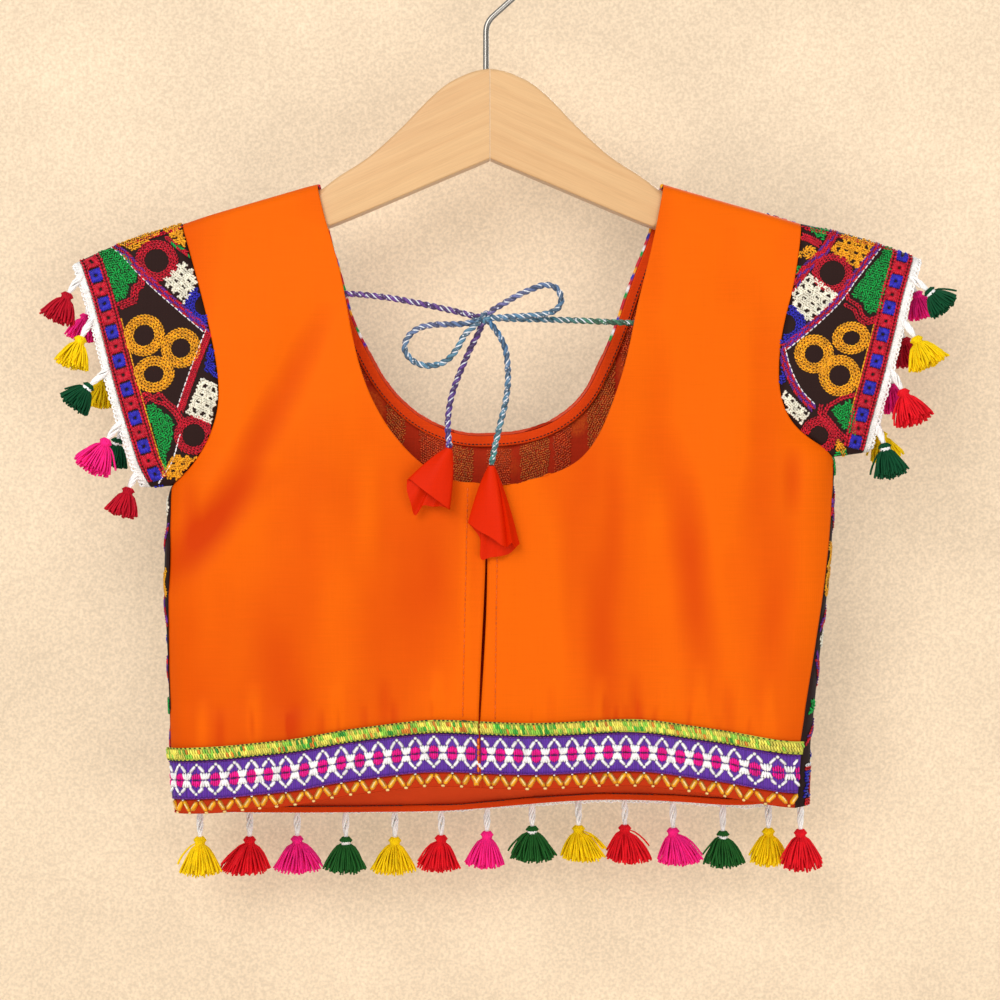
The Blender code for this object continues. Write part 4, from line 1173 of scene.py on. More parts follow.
    def band(self, points, colours, rows=2, pitch=1.15, tick=None):
        """A band of slanted stitches in rows that change colour, with a row of ticks beside it."""
        places = smooth_route(points)
        for row in range(rows):
            off = (row - (rows - 1) / 2) * pitch
            lean = BAND_LEAN if row % 2 else -BAND_LEAN
            for number, (at, angle) in enumerate(stepped(places, pitch)):
                colour = colours[(number // BAND_RUN + row) % len(colours)]
                x, y = placed(at.x, at.y, 0, off, angle)
                self.stitch(x, y, angle + lean, colour, self.length * 0.95, pitch * 0.8)
        if tick:
            off = (rows / 2 + 0.15) * pitch
            beside = [placed(a.x, a.y, 0, off, heading(a, b)) for a, b in zip(places, places[1:])]
            self.line(beside, tick, gap=1.15, width=self.width * 0.6)

    def add(self, other):
        """Puts another needle's stitches among this one's."""
        for kind in ("places", "along", "facing", "sizes", "colours"):
            getattr(self, kind).extend(getattr(other, kind))

    def sewn(self, name, slot):
        """All the stitches as one piece."""
        mesh = bpy.data.meshes.new(name)
        mesh.from_pydata(self.places, [], [])
        store(mesh, "along", "FLOAT_VECTOR", self.along)
        store(mesh, "facing", "FLOAT_VECTOR", self.facing)
        store(mesh, "size", "FLOAT_VECTOR", self.sizes)
        store(mesh, "thread", "FLOAT_COLOR", self.colours)
        piece = grown(name, mesh, stitch_tree, Stitch=shared(stitch_shape), Material=thread_material())
        dressed(piece, slot)


def inside(shape, x, y):
    """Whether a place lies within a closed outline."""
    found = False
    for (ax, ay), (bx, by) in zip(shape, [*shape[1:], shape[0]]):
        if (ay > y) != (by > y) and x < (bx - ax) * (y - ay) / (by - ay) + ax:
            found = not found
    return found


def first_hit(nodes, start, way, reach, least):
    """Where a ray first meets the cloth of some pieces that faces it, with the normal there."""
    hits = [SURFACES[node].ray_cast(start, way, reach) for node in nodes]
    hits = [hit for hit in hits if hit[0] is not None and -hit[1].dot(way) > least]
    return min(hits, key=lambda hit: hit[3])[:2] if hits else None


def straight_land(nodes, back):
    """Lands a plan's place on cloth that faces straight back or straight ahead."""
    sign = -1 if back else 1
    way = Vector((0, -sign, 0))
    return lambda x, z: first_hit(nodes, Vector((x * MM, sign * 0.2, z * MM)), way, 0.4, 0.05)


def corner(x, z):
    """The side of a place, where its rounded corner starts, and how far round that the place is."""
    side = -1 if x < 0 else 1
    edge = abs(looked_up(SIDE_SEAM[side], z)) - CORNER_LENGTH
    return side, edge, max(0.0, (abs(x) - edge) / CORNER_ARC * math.pi / 2)


def real_x(x, z):
    """The x of a place measured along the cloth round the body's corner."""
    side, edge, turn = corner(x, z)
    return side * (edge + CORNER_LENGTH * math.sin(min(turn, math.pi / 2))) if turn else x


LAST_TURN_DEG = 105  # round a corner, just past the side seam
OUT_FIRST = 2.5  # a corner's ray starts at this many times the corner's depth


def body_land(nodes, back):
    """Lands a plan's place on the body's cloth, and round its corners as far as the side seams."""
    sign = -1 if back else 1
    flat = straight_land(nodes, back)

    def land(x, z):
        side, edge, turn = corner(x, z)
        if not turn:
            return flat(x, z)
        if turn > math.radians(LAST_TURN_DEG):
            return None
        across, deep = side * CORNER_LENGTH * math.sin(turn), sign * TRIM_DEPTH * math.cos(turn)
        off = Vector((across, deep, 0)) * MM
        start = Vector((side * edge * MM, 0, z * MM)) + off * OUT_FIRST
        return first_hit(nodes, start, -off.normalized(), off.length * OUT_FIRST, 0.0)
    return land


# Sheets of cloth

def pucker(place, x, z, width, height, depth, lean=0.0):
    """An upright or leaning gather in cloth, that rises or sinks by its depth in the middle."""
    across = (place.x / MM - x - lean * (place.z / MM - z)) / width
    along = (place.z / MM - z) / height
    if abs(across) > 1 or abs(along) > 1:
        return 0.0
    return depth * (1 - across * across) ** 2 * (1 - along * along)


BACK_PUCKERS = [
    # x, z, half width, half height, depth
    (-142, -402, 5, 16, 0.8), (-133, -404, 4, 14, -0.7), (-116, -398, 6, 20, 0.8), (-75, -396, 5, 18, 0.7),
    (-96, -402, 5, 14, -0.6), (-52, -392, 5, 16, -0.6), (-26, -390, 5, 20, 0.6), (55, -392, 5, 18, 0.7),
    (72, -394, 5, 22, -0.8), (88, -396, 4, 20, 0.8), (104, -392, 5, 26, 0.7), (118, -396, 5, 20, -0.7),
    (138, -398, 5, 22, 0.6), (30, -391, 5, 16, -0.5), (-60, -300, 9, 40, 0.6), (62, -300, 8, 46, -0.6),
    (150, -280, 7, 18, -0.8), (-148, -296, 7, 18, -0.7), (-12, -330, 4, 60, 0.5), (9, -330, 4, 60, 0.45),
]
BACK_FOLDS = [
    # x, z, half width, half height, depth, lean
    (-112, -254, 15, 74, -1.7, 0.5), (-140, -304, 22, 34, -1.3, 0.9), (-30, -342, 19, 46, -0.4, 0.0),
    (100, -326, 14, 76, -1.9, -0.1), (56, -360, 13, 48, -1.0, -0.05), (84, -250, 17, 52, -0.8, 0.1),
    (-75, -345, 18, 60, 0.6, 0.0), (-104, -372, 16, 44, -0.5, -0.3), (122, -250, 12, 70, 0.7, 0.05),
    (30, -340, 12, 60, 0.6, 0.0), (140, -350, 12, 56, -0.7, 0.1),
]
HEM_GATHERS = [
    # x, z, half width, half height, depth
    (-117, -400, 2.2, 9, -1.1), (-99, -401, 2.0, 8, -1.2), (-83, -401, 2.2, 10, -1.1),
    (-75, -400, 1.8, 12, -1.2), (-62, -398, 2.0, 9, -1.0), (-47, -397, 2.2, 10, -1.1),
    (-28, -394, 1.8, 7, -0.9), (57, -397, 2.4, 14, -1.3), (62, -398, 1.8, 9, -1.0),
    (67.5, -398, 2.0, 9, -1.0), (74, -399, 2.0, 12, -1.2), (81, -400, 1.8, 10, -1.0),
    (98, -402, 2.2, 13, -1.2), (112, -403, 2.0, 9, -1.0), (128, -405, 2.0, 10, -0.9),
    (20, -396, 1.8, 7, -0.8),
]


def back_folds(place):
    """Folds, gathers above the ribbon and the light unevenness of pressed cotton, in millimetres."""
    total = sum(pucker(place, *row) for row in BACK_PUCKERS) * 1.2
    total += sum(pucker(place, *row) for row in BACK_FOLDS)
    total += sum(pucker(place, *row) for row in HEM_GATHERS)
    broad = perlin.noise(Vector((place.x * 24, place.z * 7, 1.7))) * 1.6
    fine = perlin.noise(Vector((place.x * 90, place.z * 40, 4.1))) * 0.22
    return total * eased(-0.16, -0.2, place.z) + broad + fine


def back_shift(place):
    """How far the back's cloth stands out from its solid: not at the shoulder seams or under the ribbon."""
    return back_folds(place) * eased(-0.140, -0.165, place.z) * (1 - eased(-0.392, -0.398, place.z))


# painted shade: the orange cotton's colour in the valleys of its folds
FOLD_SHADE_COLOUR = (204, 60, 0)
# painted light: a lighter lining colour near the hem, against the back panel's shade
HEM_LINING_PAINTED_LIGHT = (232, 78, 34)
PATCH_COLOUR = (226, 104, 34)


def paint_fold_shade(finish):
    """Paints shade into the orange cotton's colour where it folds inwards: the fold valleys turn a darker
    orange.
    """
    deep = remap(finish.tree, finish.attribute("fold", "Fac"), -2.0, 0.4, 1.0, 0.0)
    finish.feed("Base Color", mixed(finish.tree, deep, finish.base(), (*linear(FOLD_SHADE_COLOUR), 1)))


def lining_patches_and_painted_light(finish):
    """Lets the backs of the embroidery's stitches show through the rust cotton as warm patches, and paints a
    lighter colour on the lining near the hem: painted light where the back panel shades it.
    """
    tree, place = finish.tree, finish.cloth()
    height = add_node(tree, "ShaderNodeSeparateXYZ", {"Vector": place}).outputs["Y"]
    # below the back's hem the lining is painted lighter, as painted light against the back panel's shade
    low = remap(tree, height, -0.41, -0.39, 1.0, 0.0)
    spots = cells(tree, stretched(tree, place, (48, 40, 1)), 1.0, 0.6)
    patches = times(tree, remap(tree, spots, 0.36, 0.48, 1.0, 0.0), minus(tree, 1.0, low))
    knots = remap(tree, streaks(tree, place, (900, 700, 1), 3.0, 0.7), 0.4, 0.62, 0.2, 1.0)
    strength = times(tree, times(tree, patches, knots), 0.6)
    plain = mixed(tree, low, finish.base(), (*linear(HEM_LINING_PAINTED_LIGHT), 1))
    finish.feed("Base Color", mixed(tree, strength, plain, (*linear(PATCH_COLOUR), 1)))


def ribbon_finish():
    """Purple ribbon with fine upright ribs, painted shade in the grooves between them, and a few darker weft
    threads.
    """
    cloth = bpy.context.scene.choli_cloth
    finish = Finish("purple ribbon", roughness=0.45, sheen_weight=0.05, specular_ior_level=0.25)
    tree, place = finish.tree, finish.cloth()
    ribs = wave(tree, place, "X", 1.15 * MM)
    uneven = streaks(tree, place, (900, 60, 1))
    # the grooves between the ribs are painted darker, as painted shade; the streaks are the uneven colour of
    # its threads
    shade = plus(tree, times(tree, ribs, 0.35), times(tree, uneven, 1.1))
    finish.feed("Base Color", shaded(finish, (*cloth.purple, 1), remap(tree, shade, 0.4, 1.2, 0.6, 1.35)))
    finish.bump(ribs, 0.18 * MM, 0.8)
    return finish.material


def lace_finish():
    """Crocheted cotton: white, with painted shade in the small openings between its knots."""
    cloth = bpy.context.scene.choli_cloth
    finish = Finish("white lace", roughness=0.8, sheen_weight=0.2, specular_ior_level=0.2)
    tree, place = finish.tree, finish.space()
    knots = cells(tree, place, 950.0, 0.5)
    fibre = finish.effect(fibre_group, {"Vector": place, "Fineness": 2600.0})
    # the openings between the knots are painted darker, as painted shade
    knot_gap_shade = remap(tree, knots, 0.35, 0.75, 1.0, 0.8)
    finish.feed("Base Color", shaded(finish, shaded(finish, (*cloth.lace, 1), knot_gap_shade), fibre["Shade"]))
    finish.bump(remap(tree, knots, 0.1, 0.8, 1.0, 0.0), 0.4 * MM, 0.8)
    return finish.material


SURFACES = {}  # node: the finished outside of its cloth
MOST_STRAY = 1.2  # how far smoothing may take cloth from its solid's facets


def sheet_piece(
    node, material, slot, levels=2, outer=True, thickness=None, limit_deg=45, shift=None, folds=None
):
    """A sheet of cloth on one broad face of its solid, with its hollow side filled in."""
    skin = cloth_skin(node, outer, limit_deg)
    coarse = BVHTree.FromBMesh(skin)
    obj = smooth_through(f"{node}_cloth", skin, levels)
    vertices = obj.data.vertices
    for vertex in vertices:
        near, _, _, distance = coarse.find_nearest(vertex.co)
        if distance > MOST_STRAY * MM:
            vertex.co = near.lerp(vertex.co, MOST_STRAY * MM / distance)
    if shift:
        for vertex, normal in [(v, v.normal.copy()) for v in vertices]:
            vertex.co += normal * (shift(vertex.co) * MM)
    # the fold depths are kept on the points for the painted shade in the orange cotton's folds
    if folds:
        store(obj.data, "fold", "FLOAT", [folds(v.co) for v in vertices])
    SURFACES[node] = BVHTree.FromPolygons(
        [v.co for v in vertices], [face.vertices for face in obj.data.polygons]
    )
    cloth_map(obj.data)
    obj.data.materials.append(material)
    wall = obj.modifiers.new("Thickness", "SOLIDIFY")
    wall.thickness = thickness or bpy.context.scene.choli_cloth.thickness
    wall.offset = -1
    wall.thickness_clamp = 1.0
    baked(obj)
    obj.data.shade_smooth()
    return dressed(obj, slot, node)


# Hanger

HANGER_ARM = [
    # out from the middle, top, bottom
    (0.15, -74.5, -119.5), (7.0, -75.6, -122.5), (14.0, -78.2, -125.4), (22.0, -82.6, -128.8),
    (31.0, -90.4, -132.6), (45.0, -104.8, -138.6), (60.0, -118.2, -145.0), (75.0, -128.0, -151.2),
    (86.0, -135.2, -155.4), (105.0, -140.2, -161.8), (125.0, -146.2, -167.4), (140.0, -150.8, -170.6),
    (146.0, -153.6, -170.4), (149.0, -158.4, -167.6),
]
HANGER_THICKNESS = 12.0
ARM_TIP_START = 140.0
ARM_TIP_TAPER = 0.38  # how much of the thickness is lost from there to the arm's end
HANGER_EDGE_RADIUS = 5.0
HANGER_CRISP = (2.4, 1.1)  # the edges' radii above and below, where no cloth covers them
HANGER_COVERED = (80.0, 85.0)  # how far out the cloth begins to hide the wood, and hides all of it
CORNER_STEPS = 8
HANGER_SLOPE_DEG = 24.0
HOOK_WIRE_RADIUS = 1.45
HOOK_RADIUS = 21.5
HOOK_STEM_X = -2.0
HOOK_SLOPE_DEG = 42.0
HOOK_STEM_LOW = -88.0
HOOK_ARC_DEG = 234
HOOK_STEPS = 60
HOOK_TIP = (0.98, 0.86, 0.5)  # shares of the wire's radius at its rounded end
HOOK_BEND = 5  # how far before and after its corner the wire bends
SIDES = ((-1, "left"), (1, "right"))


def wood_finish(side):
    """Pale wood under satin varnish, its grain along one arm."""
    hanger = bpy.context.scene.choli_hanger
    name = "wood left" if side < 0 else "wood right"
    finish = Finish(name, roughness=0.45, coat_weight=0.08, coat_roughness=0.3, specular_ior_level=0.3)
    tree = finish.tree
    turned = add_node(
        tree, "ShaderNodeMapping",
        {
            "Vector": finish.space(), "Location": (0.37 * side, 0.11 * side, 0),
            "Rotation": (0, -math.radians(HANGER_SLOPE_DEG) * side, 0),
        },
    )
    grain = finish.effect(grain_group, {"Vector": turned.outputs[0], "Lines": 0.4})
    colour = mixed(tree, grain["Grain"], (*hanger.wood, 1), (*hanger.grain, 1))
    pores = remap(tree, grain["Pores"], 0.0, 1.0, 0.94, 1.02)
    finish.feed("Base Color", shaded(finish, colour, pores))
    finish.bump(grain["Pores"], 0.03 * MM, 0.5)
    return finish.material


def steel_finish():
    hanger = bpy.context.scene.choli_hanger
    finish = Finish("steel", metallic=1.0, roughness=0.26)
    tree = finish.tree
    worn = noise(tree, finish.space(), 420.0, 3.0)
    finish.feed("Base Color", shaded(finish, (*hanger.steel, 1), remap(tree, worn, 0.3, 0.7, 0.85, 1.1)))
    finish.feed("Roughness", remap(tree, worn, 0.3, 0.7, 0.2, 0.38))
    return finish.material


def bridge(work, loops):
    """Four-sided faces between each two neighbouring rings of points."""
    for a, b in zip(loops, loops[1:]):
        for i in range(len(a)):
            j = (i + 1) % len(a)
            work.faces.new((a[i], a[j], b[j], b[i]))


def lofted(name, rings, material):
    """A closed solid through rings of points, with both ends filled."""
    work = bmesh.new()
    loops = [[work.verts.new(p) for p in ring] for ring in rings]
    work.faces.new(loops[0][::-1])
    work.faces.new(loops[-1])
    bridge(work, loops)
    bmesh.ops.recalc_face_normals(work, faces=work.faces[:])
    obj = finished(name, work)
    obj.data.materials.append(material)
    return obj


def arm_rings(side):
    """Rounded cross-sections along one arm, close enough to look smooth."""
    tops = spline([(out, top, 0) for out, top, _ in HANGER_ARM], 2.5)
    lows = [looked_up([(out, low) for out, _, low in HANGER_ARM], p.x) for p in tops]
    rings = []
    last = HANGER_ARM[-1][0]
    for top, low in zip(tops, lows):
        half = HANGER_THICKNESS / 2
        if top.x > ARM_TIP_START:
            half *= 1 - ARM_TIP_TAPER * (top.x - ARM_TIP_START) / (last - ARM_TIP_START)
        hidden = eased(*HANGER_COVERED, top.x)
        high, foot = (
            min(crisp + (HANGER_EDGE_RADIUS - crisp) * hidden, half * 0.9, (top.y - low) / 2.2)
            for crisp in HANGER_CRISP
        )
        ring = []
        for y, z, start, radius in (
            (half - high, top.y - high, 0, high), (high - half, top.y - high, 90, high),
            (foot - half, low + foot, 180, foot), (half - foot, low + foot, 270, foot),
        ):
            for i in range(CORNER_STEPS + 1):
                a = math.radians(start + 90 * i / CORNER_STEPS)
                place = Vector((side * top.x, y + radius * math.cos(a), z + radius * math.sin(a)))
                ring.append(place * MM)
        rings.append(ring)
    return rings


def hook_route():
    """The wire's middle from the wood up the stem, out along the slope and round the crown."""
    slope = math.radians(HOOK_SLOPE_DEG)
    middle_z = HOOK_WIRE_RADIUS - HOOK_RADIUS
    arc = []
    for i in range(HOOK_STEPS):
        a = slope - math.pi / 2 + math.radians(i * HOOK_ARC_DEG / (HOOK_STEPS - 1))
        arc.append(Vector((HOOK_RADIUS * math.cos(a), 0, middle_z + HOOK_RADIUS * math.sin(a))))
    out = Vector((math.cos(slope), 0, math.sin(slope)))
    bend = arc[0] - out * ((arc[0].x - HOOK_STEM_X) / math.cos(slope))
    low, high = bend - UP * HOOK_BEND, bend + out * HOOK_BEND
    knee = []
    for i in range(CORNER_STEPS + 1):
        t = i / CORNER_STEPS
        knee.append(low * (1 - t) ** 2 + bend * 2 * t * (1 - t) + high * t * t)
    return [p * MM for p in [Vector((HOOK_STEM_X, 0, HOOK_STEM_LOW)), *knee, *arc]]


def build_hanger():
    for side, name in SIDES:
        arm = lofted(f"hanger_{name}_wood", arm_rings(side), wood_finish(side))
        arm.data.shade_smooth()
        arm.data.set_sharp_from_angle(angle=math.radians(50))
        dressed(arm, "wood", f"hanger_{name}")
    route = hook_route()
    radii = [HOOK_WIRE_RADIUS * MM] * (len(route) - len(HOOK_TIP))
    radii += [HOOK_WIRE_RADIUS * share * MM for share in HOOK_TIP]
    wire = threads("hanger_hook_wire", [(route, radii, (0.3, 0.3, 0.3))], steel_finish(), 20)
    dressed(wire, "steel", "hanger_hook")


# Blouse cloth

def build_back():
    orange = cloth_finish("orange cloth")
    paint_fold_shade(orange)
    rust = cloth_finish("rust cloth").material
    for _, side in SIDES:
        sheet_piece(
            f"back_{side}", orange.material, "orange_cloth", levels=3, limit_deg=50,
            shift=back_shift, folds=back_folds,
        )
        sheet_piece(f"back_band_{side}", rust, "rust_cloth")


def build_front():
    sheet_piece("front", cloth_finish("ground cloth").material, "embroidered_cloth")


def lining_shift(place):
    """Soft gathers in the lining below the neckline, in millimetres."""
    return 1.3 * perlin.noise(Vector((place.x * 170, place.z * 9, 2.3))) * eased(-0.31, -0.27, place.z)


def build_lining():
    inner = {"outer": False, "thickness": 0.6 * MM}
    rust = cloth_finish("lining cloth")
    lining_patches_and_painted_light(rust)
    sheet_piece("front_lining", rust.material, "lining_cloth", shift=lining_shift, **inner)
    facing = cloth_finish("facing cloth").material
    sheet_piece("neck_facing", facing, "rust_cloth", **inner)
    sheet_piece("hem_facing", facing, "rust_cloth", **inner)


def build_sleeves():
    ground = bpy.data.materials["ground cloth"]
    for _, side in SIDES:
        sheet_piece(f"sleeve_{side}", ground, "embroidered_cloth")


def build_ribbon_and_braid():
    ribbon, braid = ribbon_finish(), cloth_finish("lime braid").material
    for _, side in SIDES:
        sheet_piece(f"ribbon_{side}", ribbon, "purple_ribbon", levels=3)
        sheet_piece(f"braid_{side}", braid, "lime_braid", levels=3)


def lace_tuck(x):
    """How far up the hem's lace is tucked behind the front, in millimetres."""
    return 2.6 - 0.9 * eased(-4.0, 12.0, x)


def build_lace():
    lace = lace_finish()
    hem = sheet_piece("hem_lace", lace, "white_lace")
    for point in hem.data.vertices:
        point.co.z += lace_tuck(point.co.x / MM) * MM
    for _, side in SIDES:
        sheet_piece(f"sleeve_lace_{side}", lace, "white_lace")


# Tassels

STEM_RADIUS = 1.3
HEAD_NECK = 1.2
HEAD_LENGTH = 4.2
LOOP_STRANDS = 6
LOOP_RADIUS = 0.58
LOOP_REACH = 3.4  # up behind the hem
LOOP_SAG = -0.12  # of its run
LOOP_TWIST = 4.2  # radians from its top to the head
WRAP_TURNS = 3
WRAP_STEPS = 10  # in each turn
WRAP_PITCH = 0.5
WRAP_YARN = 0.36
STRAND_HEAD = 0.2  # the share of a strand's length that makes the round head
STRAND_START = 0.5  # below the head's top
STRAND_HEAD_SIDE = 2.5
STRAND_NECK_SIDE = 1.9
STRAND_FLARE = 0.66  # how soon the strands spread below the neck: less is sooner
STRAND_SPREAD = (1.04, 1.02)  # the yarn's width and depth as shares of its solid's
STRAND_REACH = (0.9, 1.03)  # the strands' length as a share of their solid's
STRAND_ROUND = 0.12  # how much shorter the outermost strands are
STRAND_BEND = 0.9
STRAY_REACH = (0.72, 0.95)
STRAY_SPREAD = (1.05, 1.3)
STRAND_STEPS = (0.0, 0.1, 0.2, 0.34, 0.52, 0.7, 0.86, 1.0)
STRAND_SWELL = (0.9, 1.1, 1.0, 1.1, 1.2, 1.3, 1.35, 1.25)
STRAY_STRANDS = 0.06
GOLDEN_ANGLE = 2.399963
UNTINTED = (1, 1, 1)


def tassel_bones(node, lean_x, lean_y):
    """Where a tassel hangs from, where its head starts, its axis, and the reach of its strands."""
    axis = Vector((lean_x, lean_y, -1)).normalized()
    work = merged_copy(node)
    places = [v.co.copy() for v in work.verts]
    work.free()
    depths = [p.dot(axis) for p in places]

    def level(depth):
        return [p for p, d in zip(places, depths) if abs(d - depth) < 0.03 * MM]

    start = next(
        d for d in sorted(depths)
        if all(len(level(d + down * MM)) >= 6 for down in (0, HEAD_NECK, HEAD_LENGTH))
    )
    ring = level(start)[:6]
    head = sum(ring, Vector()) / len(ring)
    above = [
        p for p, d in zip(places, depths)
        if (p - head).length > STEM_RADIUS * 1.6 * MM and d < start + 0.6 * MM
    ]
    above.sort(key=lambda p: -(p - head).length)
    across = (Vector((1, 0, 0)) - axis * axis.x).normalized()
    deep = axis.cross(across)
    below = [p - head for p in places if (p - head).dot(axis) > 8 * MM]
    wide = [p.dot(across) for p in below]
    thick = [p.dot(deep) for p in below]
    return {
        "top": sum(above[:6], Vector()) / 6, "head": head, "axis": axis, "across": across, "deep": deep,
        "length": max(p.dot(axis) for p in below), "lean": (max(wide) + min(wide)) / 2,
        "spread": (max(wide) - min(wide)) / 2, "thick": (max(thick) - min(thick)) / 2,
    }


def strand_lines(bones, chance, strands, radius):
    """The yarn of a tassel: a round head, then strands that spread to the solid's width."""
    head, axis, across, deep = bones["head"], bones["axis"], bones["across"], bones["deep"]
    lines = []
    for i in range(strands):
        a = i * GOLDEN_ANGLE
        share = math.sqrt((i + 0.5) / strands)
        side = round_by(across, deep, a)
        reach = (
            across * (math.cos(a) * bones["spread"] * STRAND_SPREAD[0] * share + bones["lean"])
            + deep * (math.sin(a) * bones["thick"] * STRAND_SPREAD[1] * share)
        )
        end = bones["length"] * chance.uniform(*STRAND_REACH) * (1.0 - STRAND_ROUND * share * share)
        if chance.random() < STRAY_STRANDS:
            end *= chance.uniform(*STRAY_REACH)
            reach *= chance.uniform(*STRAY_SPREAD)
        bend = Vector((chance.uniform(-1, 1), chance.uniform(-1, 1), 0)) * (STRAND_BEND * MM)
        crown = side * (share * 1.1 * MM)
        route = []
        for t in STRAND_STEPS:
            down = axis * (STRAND_START * MM + (end - STRAND_START * MM) * t)
            if t <= STRAND_HEAD:
                ball = math.sin(math.pi * (t / STRAND_HEAD)) * 0.55 + 0.5
                out = side * (share * STRAND_HEAD_SIDE * MM * ball) + crown * 0.4
            else:
                spread = ((t - STRAND_HEAD) / (1 - STRAND_HEAD)) ** STRAND_FLARE
                out = side * (share * STRAND_NECK_SIDE * MM) * (1 - spread) + reach * spread
            route.append(head + down + out + bend * (math.sin(t * 5 + i) * t))
        lines.append((route, [radius * swell for swell in STRAND_SWELL], UNTINTED))
    return lines


def wrap_lines(bones):
    """The two turned bands of yarn that bind a tassel's neck."""
    lines = []
    for wrap in range(2):
        start = HEAD_LENGTH * MM * (0.55 + 0.18 * wrap)
        route = []
        for i in range(WRAP_TURNS * WRAP_STEPS + 1):
            side = round_by(bones["across"], bones["deep"], 2 * math.pi * i / WRAP_STEPS + wrap)
            down = bones["axis"] * (start + WRAP_PITCH * MM * i / WRAP_STEPS)
            route.append(bones["head"] + down + side * ((2.35 - 0.15 * wrap) * MM))
        lines.append((route, WRAP_YARN * MM, UNTINTED))
    return lines


def loop_lines(bones, chance):
    """The white strands that a tassel hangs by, from behind the hem into its head."""
    top, head, axis = bones["top"], bones["head"], bones["axis"]
    run = (head - top).length
    ahead = (head - top).normalized()
    across = ahead.orthogonal().normalized()
    deep = ahead.cross(across)
    droop = axis - ahead * axis.dot(ahead)
    top = top - ahead * (LOOP_REACH * MM)
    steps = max(5, int(run / MM))
    lines = []
    for i in range(LOOP_STRANDS):
        phase = 2 * math.pi * i / LOOP_STRANDS + chance.uniform(0, 1)
        route = []
        for k in range(steps + 1):
            t = k / steps
            swell = 0.6 + math.sin(math.pi * min(1.0, t * 1.15))
            curve = droop * (math.sin(math.pi * t) * LOOP_SAG * run)
            middle = top.lerp(head + axis * 1.2 * MM, t) + curve
            route.append(middle + round_by(across, deep, phase + t * LOOP_TWIST) * (swell * 0.85 * MM))
        lines.append((route, LOOP_RADIUS * MM, UNTINTED))
    return lines


def build_tassels():
    thread = bpy.context.scene.choli_thread
    slots = {"crimson": "yarn_red", "dark green": "yarn_green"}
    white = yarn_material("white")
    for number, (node, (colour, lean_x, lean_y)) in enumerate(TASSELS.items()):
        chance = random.Random(300 + number)
        bones = tassel_bones(node, lean_x, lean_y)
        yarn = yarn_material(colour)
        strands = strand_lines(bones, chance, thread.strands, thread.strand_radius)
        parts = [
            threads(f"{node}_strands", strands, yarn, 4),
            threads(f"{node}_wraps", wrap_lines(bones), white if "green" in colour else yarn, 5),
            threads(f"{node}_loop", loop_lines(bones, chance), white, 6),
        ]
        dressed(joined(f"{node}_yarn", parts), slots.get(colour, f"yarn_{colour}"), node)


# Drawstring

CORD_COLOURS = {
    # route: colours from its start to its end
    "dori_left": [(100, 42, 136), (94, 40, 138), (82, 36, 124)],
    "dori_right": [(44, 112, 78), (46, 116, 84), (60, 122, 150), (74, 140, 178)],
    "bow_left": [(70, 120, 160), (96, 104, 158), (78, 124, 160), (74, 132, 160), (84, 130, 160)],
    "bow_right": [(110, 96, 156), (84, 110, 160), (72, 122, 152), (78, 128, 170)],
    "tail_left": [(80, 38, 116), (84, 38, 126), (82, 36, 134), (74, 40, 156)],
    "tail_right": [(60, 120, 168), (78, 118, 160), (76, 132, 160), (58, 140, 130)],
}
PLIES = 2
PLY_OFFSET = 0.8
PLY_RADIUS = 0.92
PLY_TONES = (0.55, 0.95)
TINSEL_OFFSET = 0.86
TINSEL_RADIUS = 0.42
TINSEL_COLOUR = (228, 232, 240)
# how dark the painted shade in the cord's grooves is, as a share of the cord's colour
GROOVE_SHADE_TONE = 0.3
KNOT_REACH = 3.4
KNOT_NEAR = 9.0  # a cord that ends nearer to the knot than this is led on into it
KNOT_TURNS = [
    # half sizes across, away and up, tilt
    ((2.3, 1.7, 1.3), 0.5), ((1.2, 1.9, 2.2), -0.4), ((2.0, 1.5, 1.0), 1.9),
]
CORD_STEP = 0.0007


def shade_along(colours, share):
    """The colour at a share of a run of colours."""
    at = share * (len(colours) - 1)
    low = min(int(at), len(colours) - 2)
    return tuple(
        a + (b - a) * (at - low) for a, b in zip(linear(colours[low]), linear(colours[low + 1]))
    )


def spiral(path, frames, pitch, phase, share, offset):
    """A spiral round a path: its places, and the run of the path at each of them."""
    places, runs, run = [], [], 0.0
    for i, (place, (_, across, deep)) in enumerate(zip(path, frames)):
        run += (place - path[i - 1]).length if i else 0.0
        a = phase + 2 * math.pi * (run / pitch + share)
        places.append(place + round_by(across, deep, a) * (offset * MM))
        runs.append(run)
    return places, runs


def rope_lines(places, pitch, colours, phase=0.0):
    """The plies of a twisted cord along a path, and the tinsel in the grooves between them, with painted
    shade in the grooves where no tinsel shows.
    """
    path = spline(places, CORD_STEP)
    frames = turned_frames(path)
    total = run_length(path)
    lines = []
    for ply in range(PLIES):
        route, runs = spiral(path, frames, pitch, phase, ply / PLIES, PLY_OFFSET)
        tints = [toned(shade_along(colours, run / total), PLY_TONES[ply]) for run in runs]
        lines.append((route, PLY_RADIUS * MM, tints))
    for ply in range(PLIES):
        route, runs = spiral(path, frames, pitch, phase, (ply + 0.5) / PLIES, TINSEL_OFFSET)
        tinsel_and_groove_shade = []
        for run in runs:
            bright = perlin.noise(Vector((run * 300, phase, 0.4 + ply * 3))) > -0.03
            # where no tinsel shows, the groove's line is painted shade: the cord's colour darkened
            gap = toned(shade_along(colours, run / total), GROOVE_SHADE_TONE)
            tinsel_and_groove_shade.append(linear(TINSEL_COLOUR) if bright else gap)
        lines.append((route, TINSEL_RADIUS * MM, tinsel_and_groove_shade))
    return lines


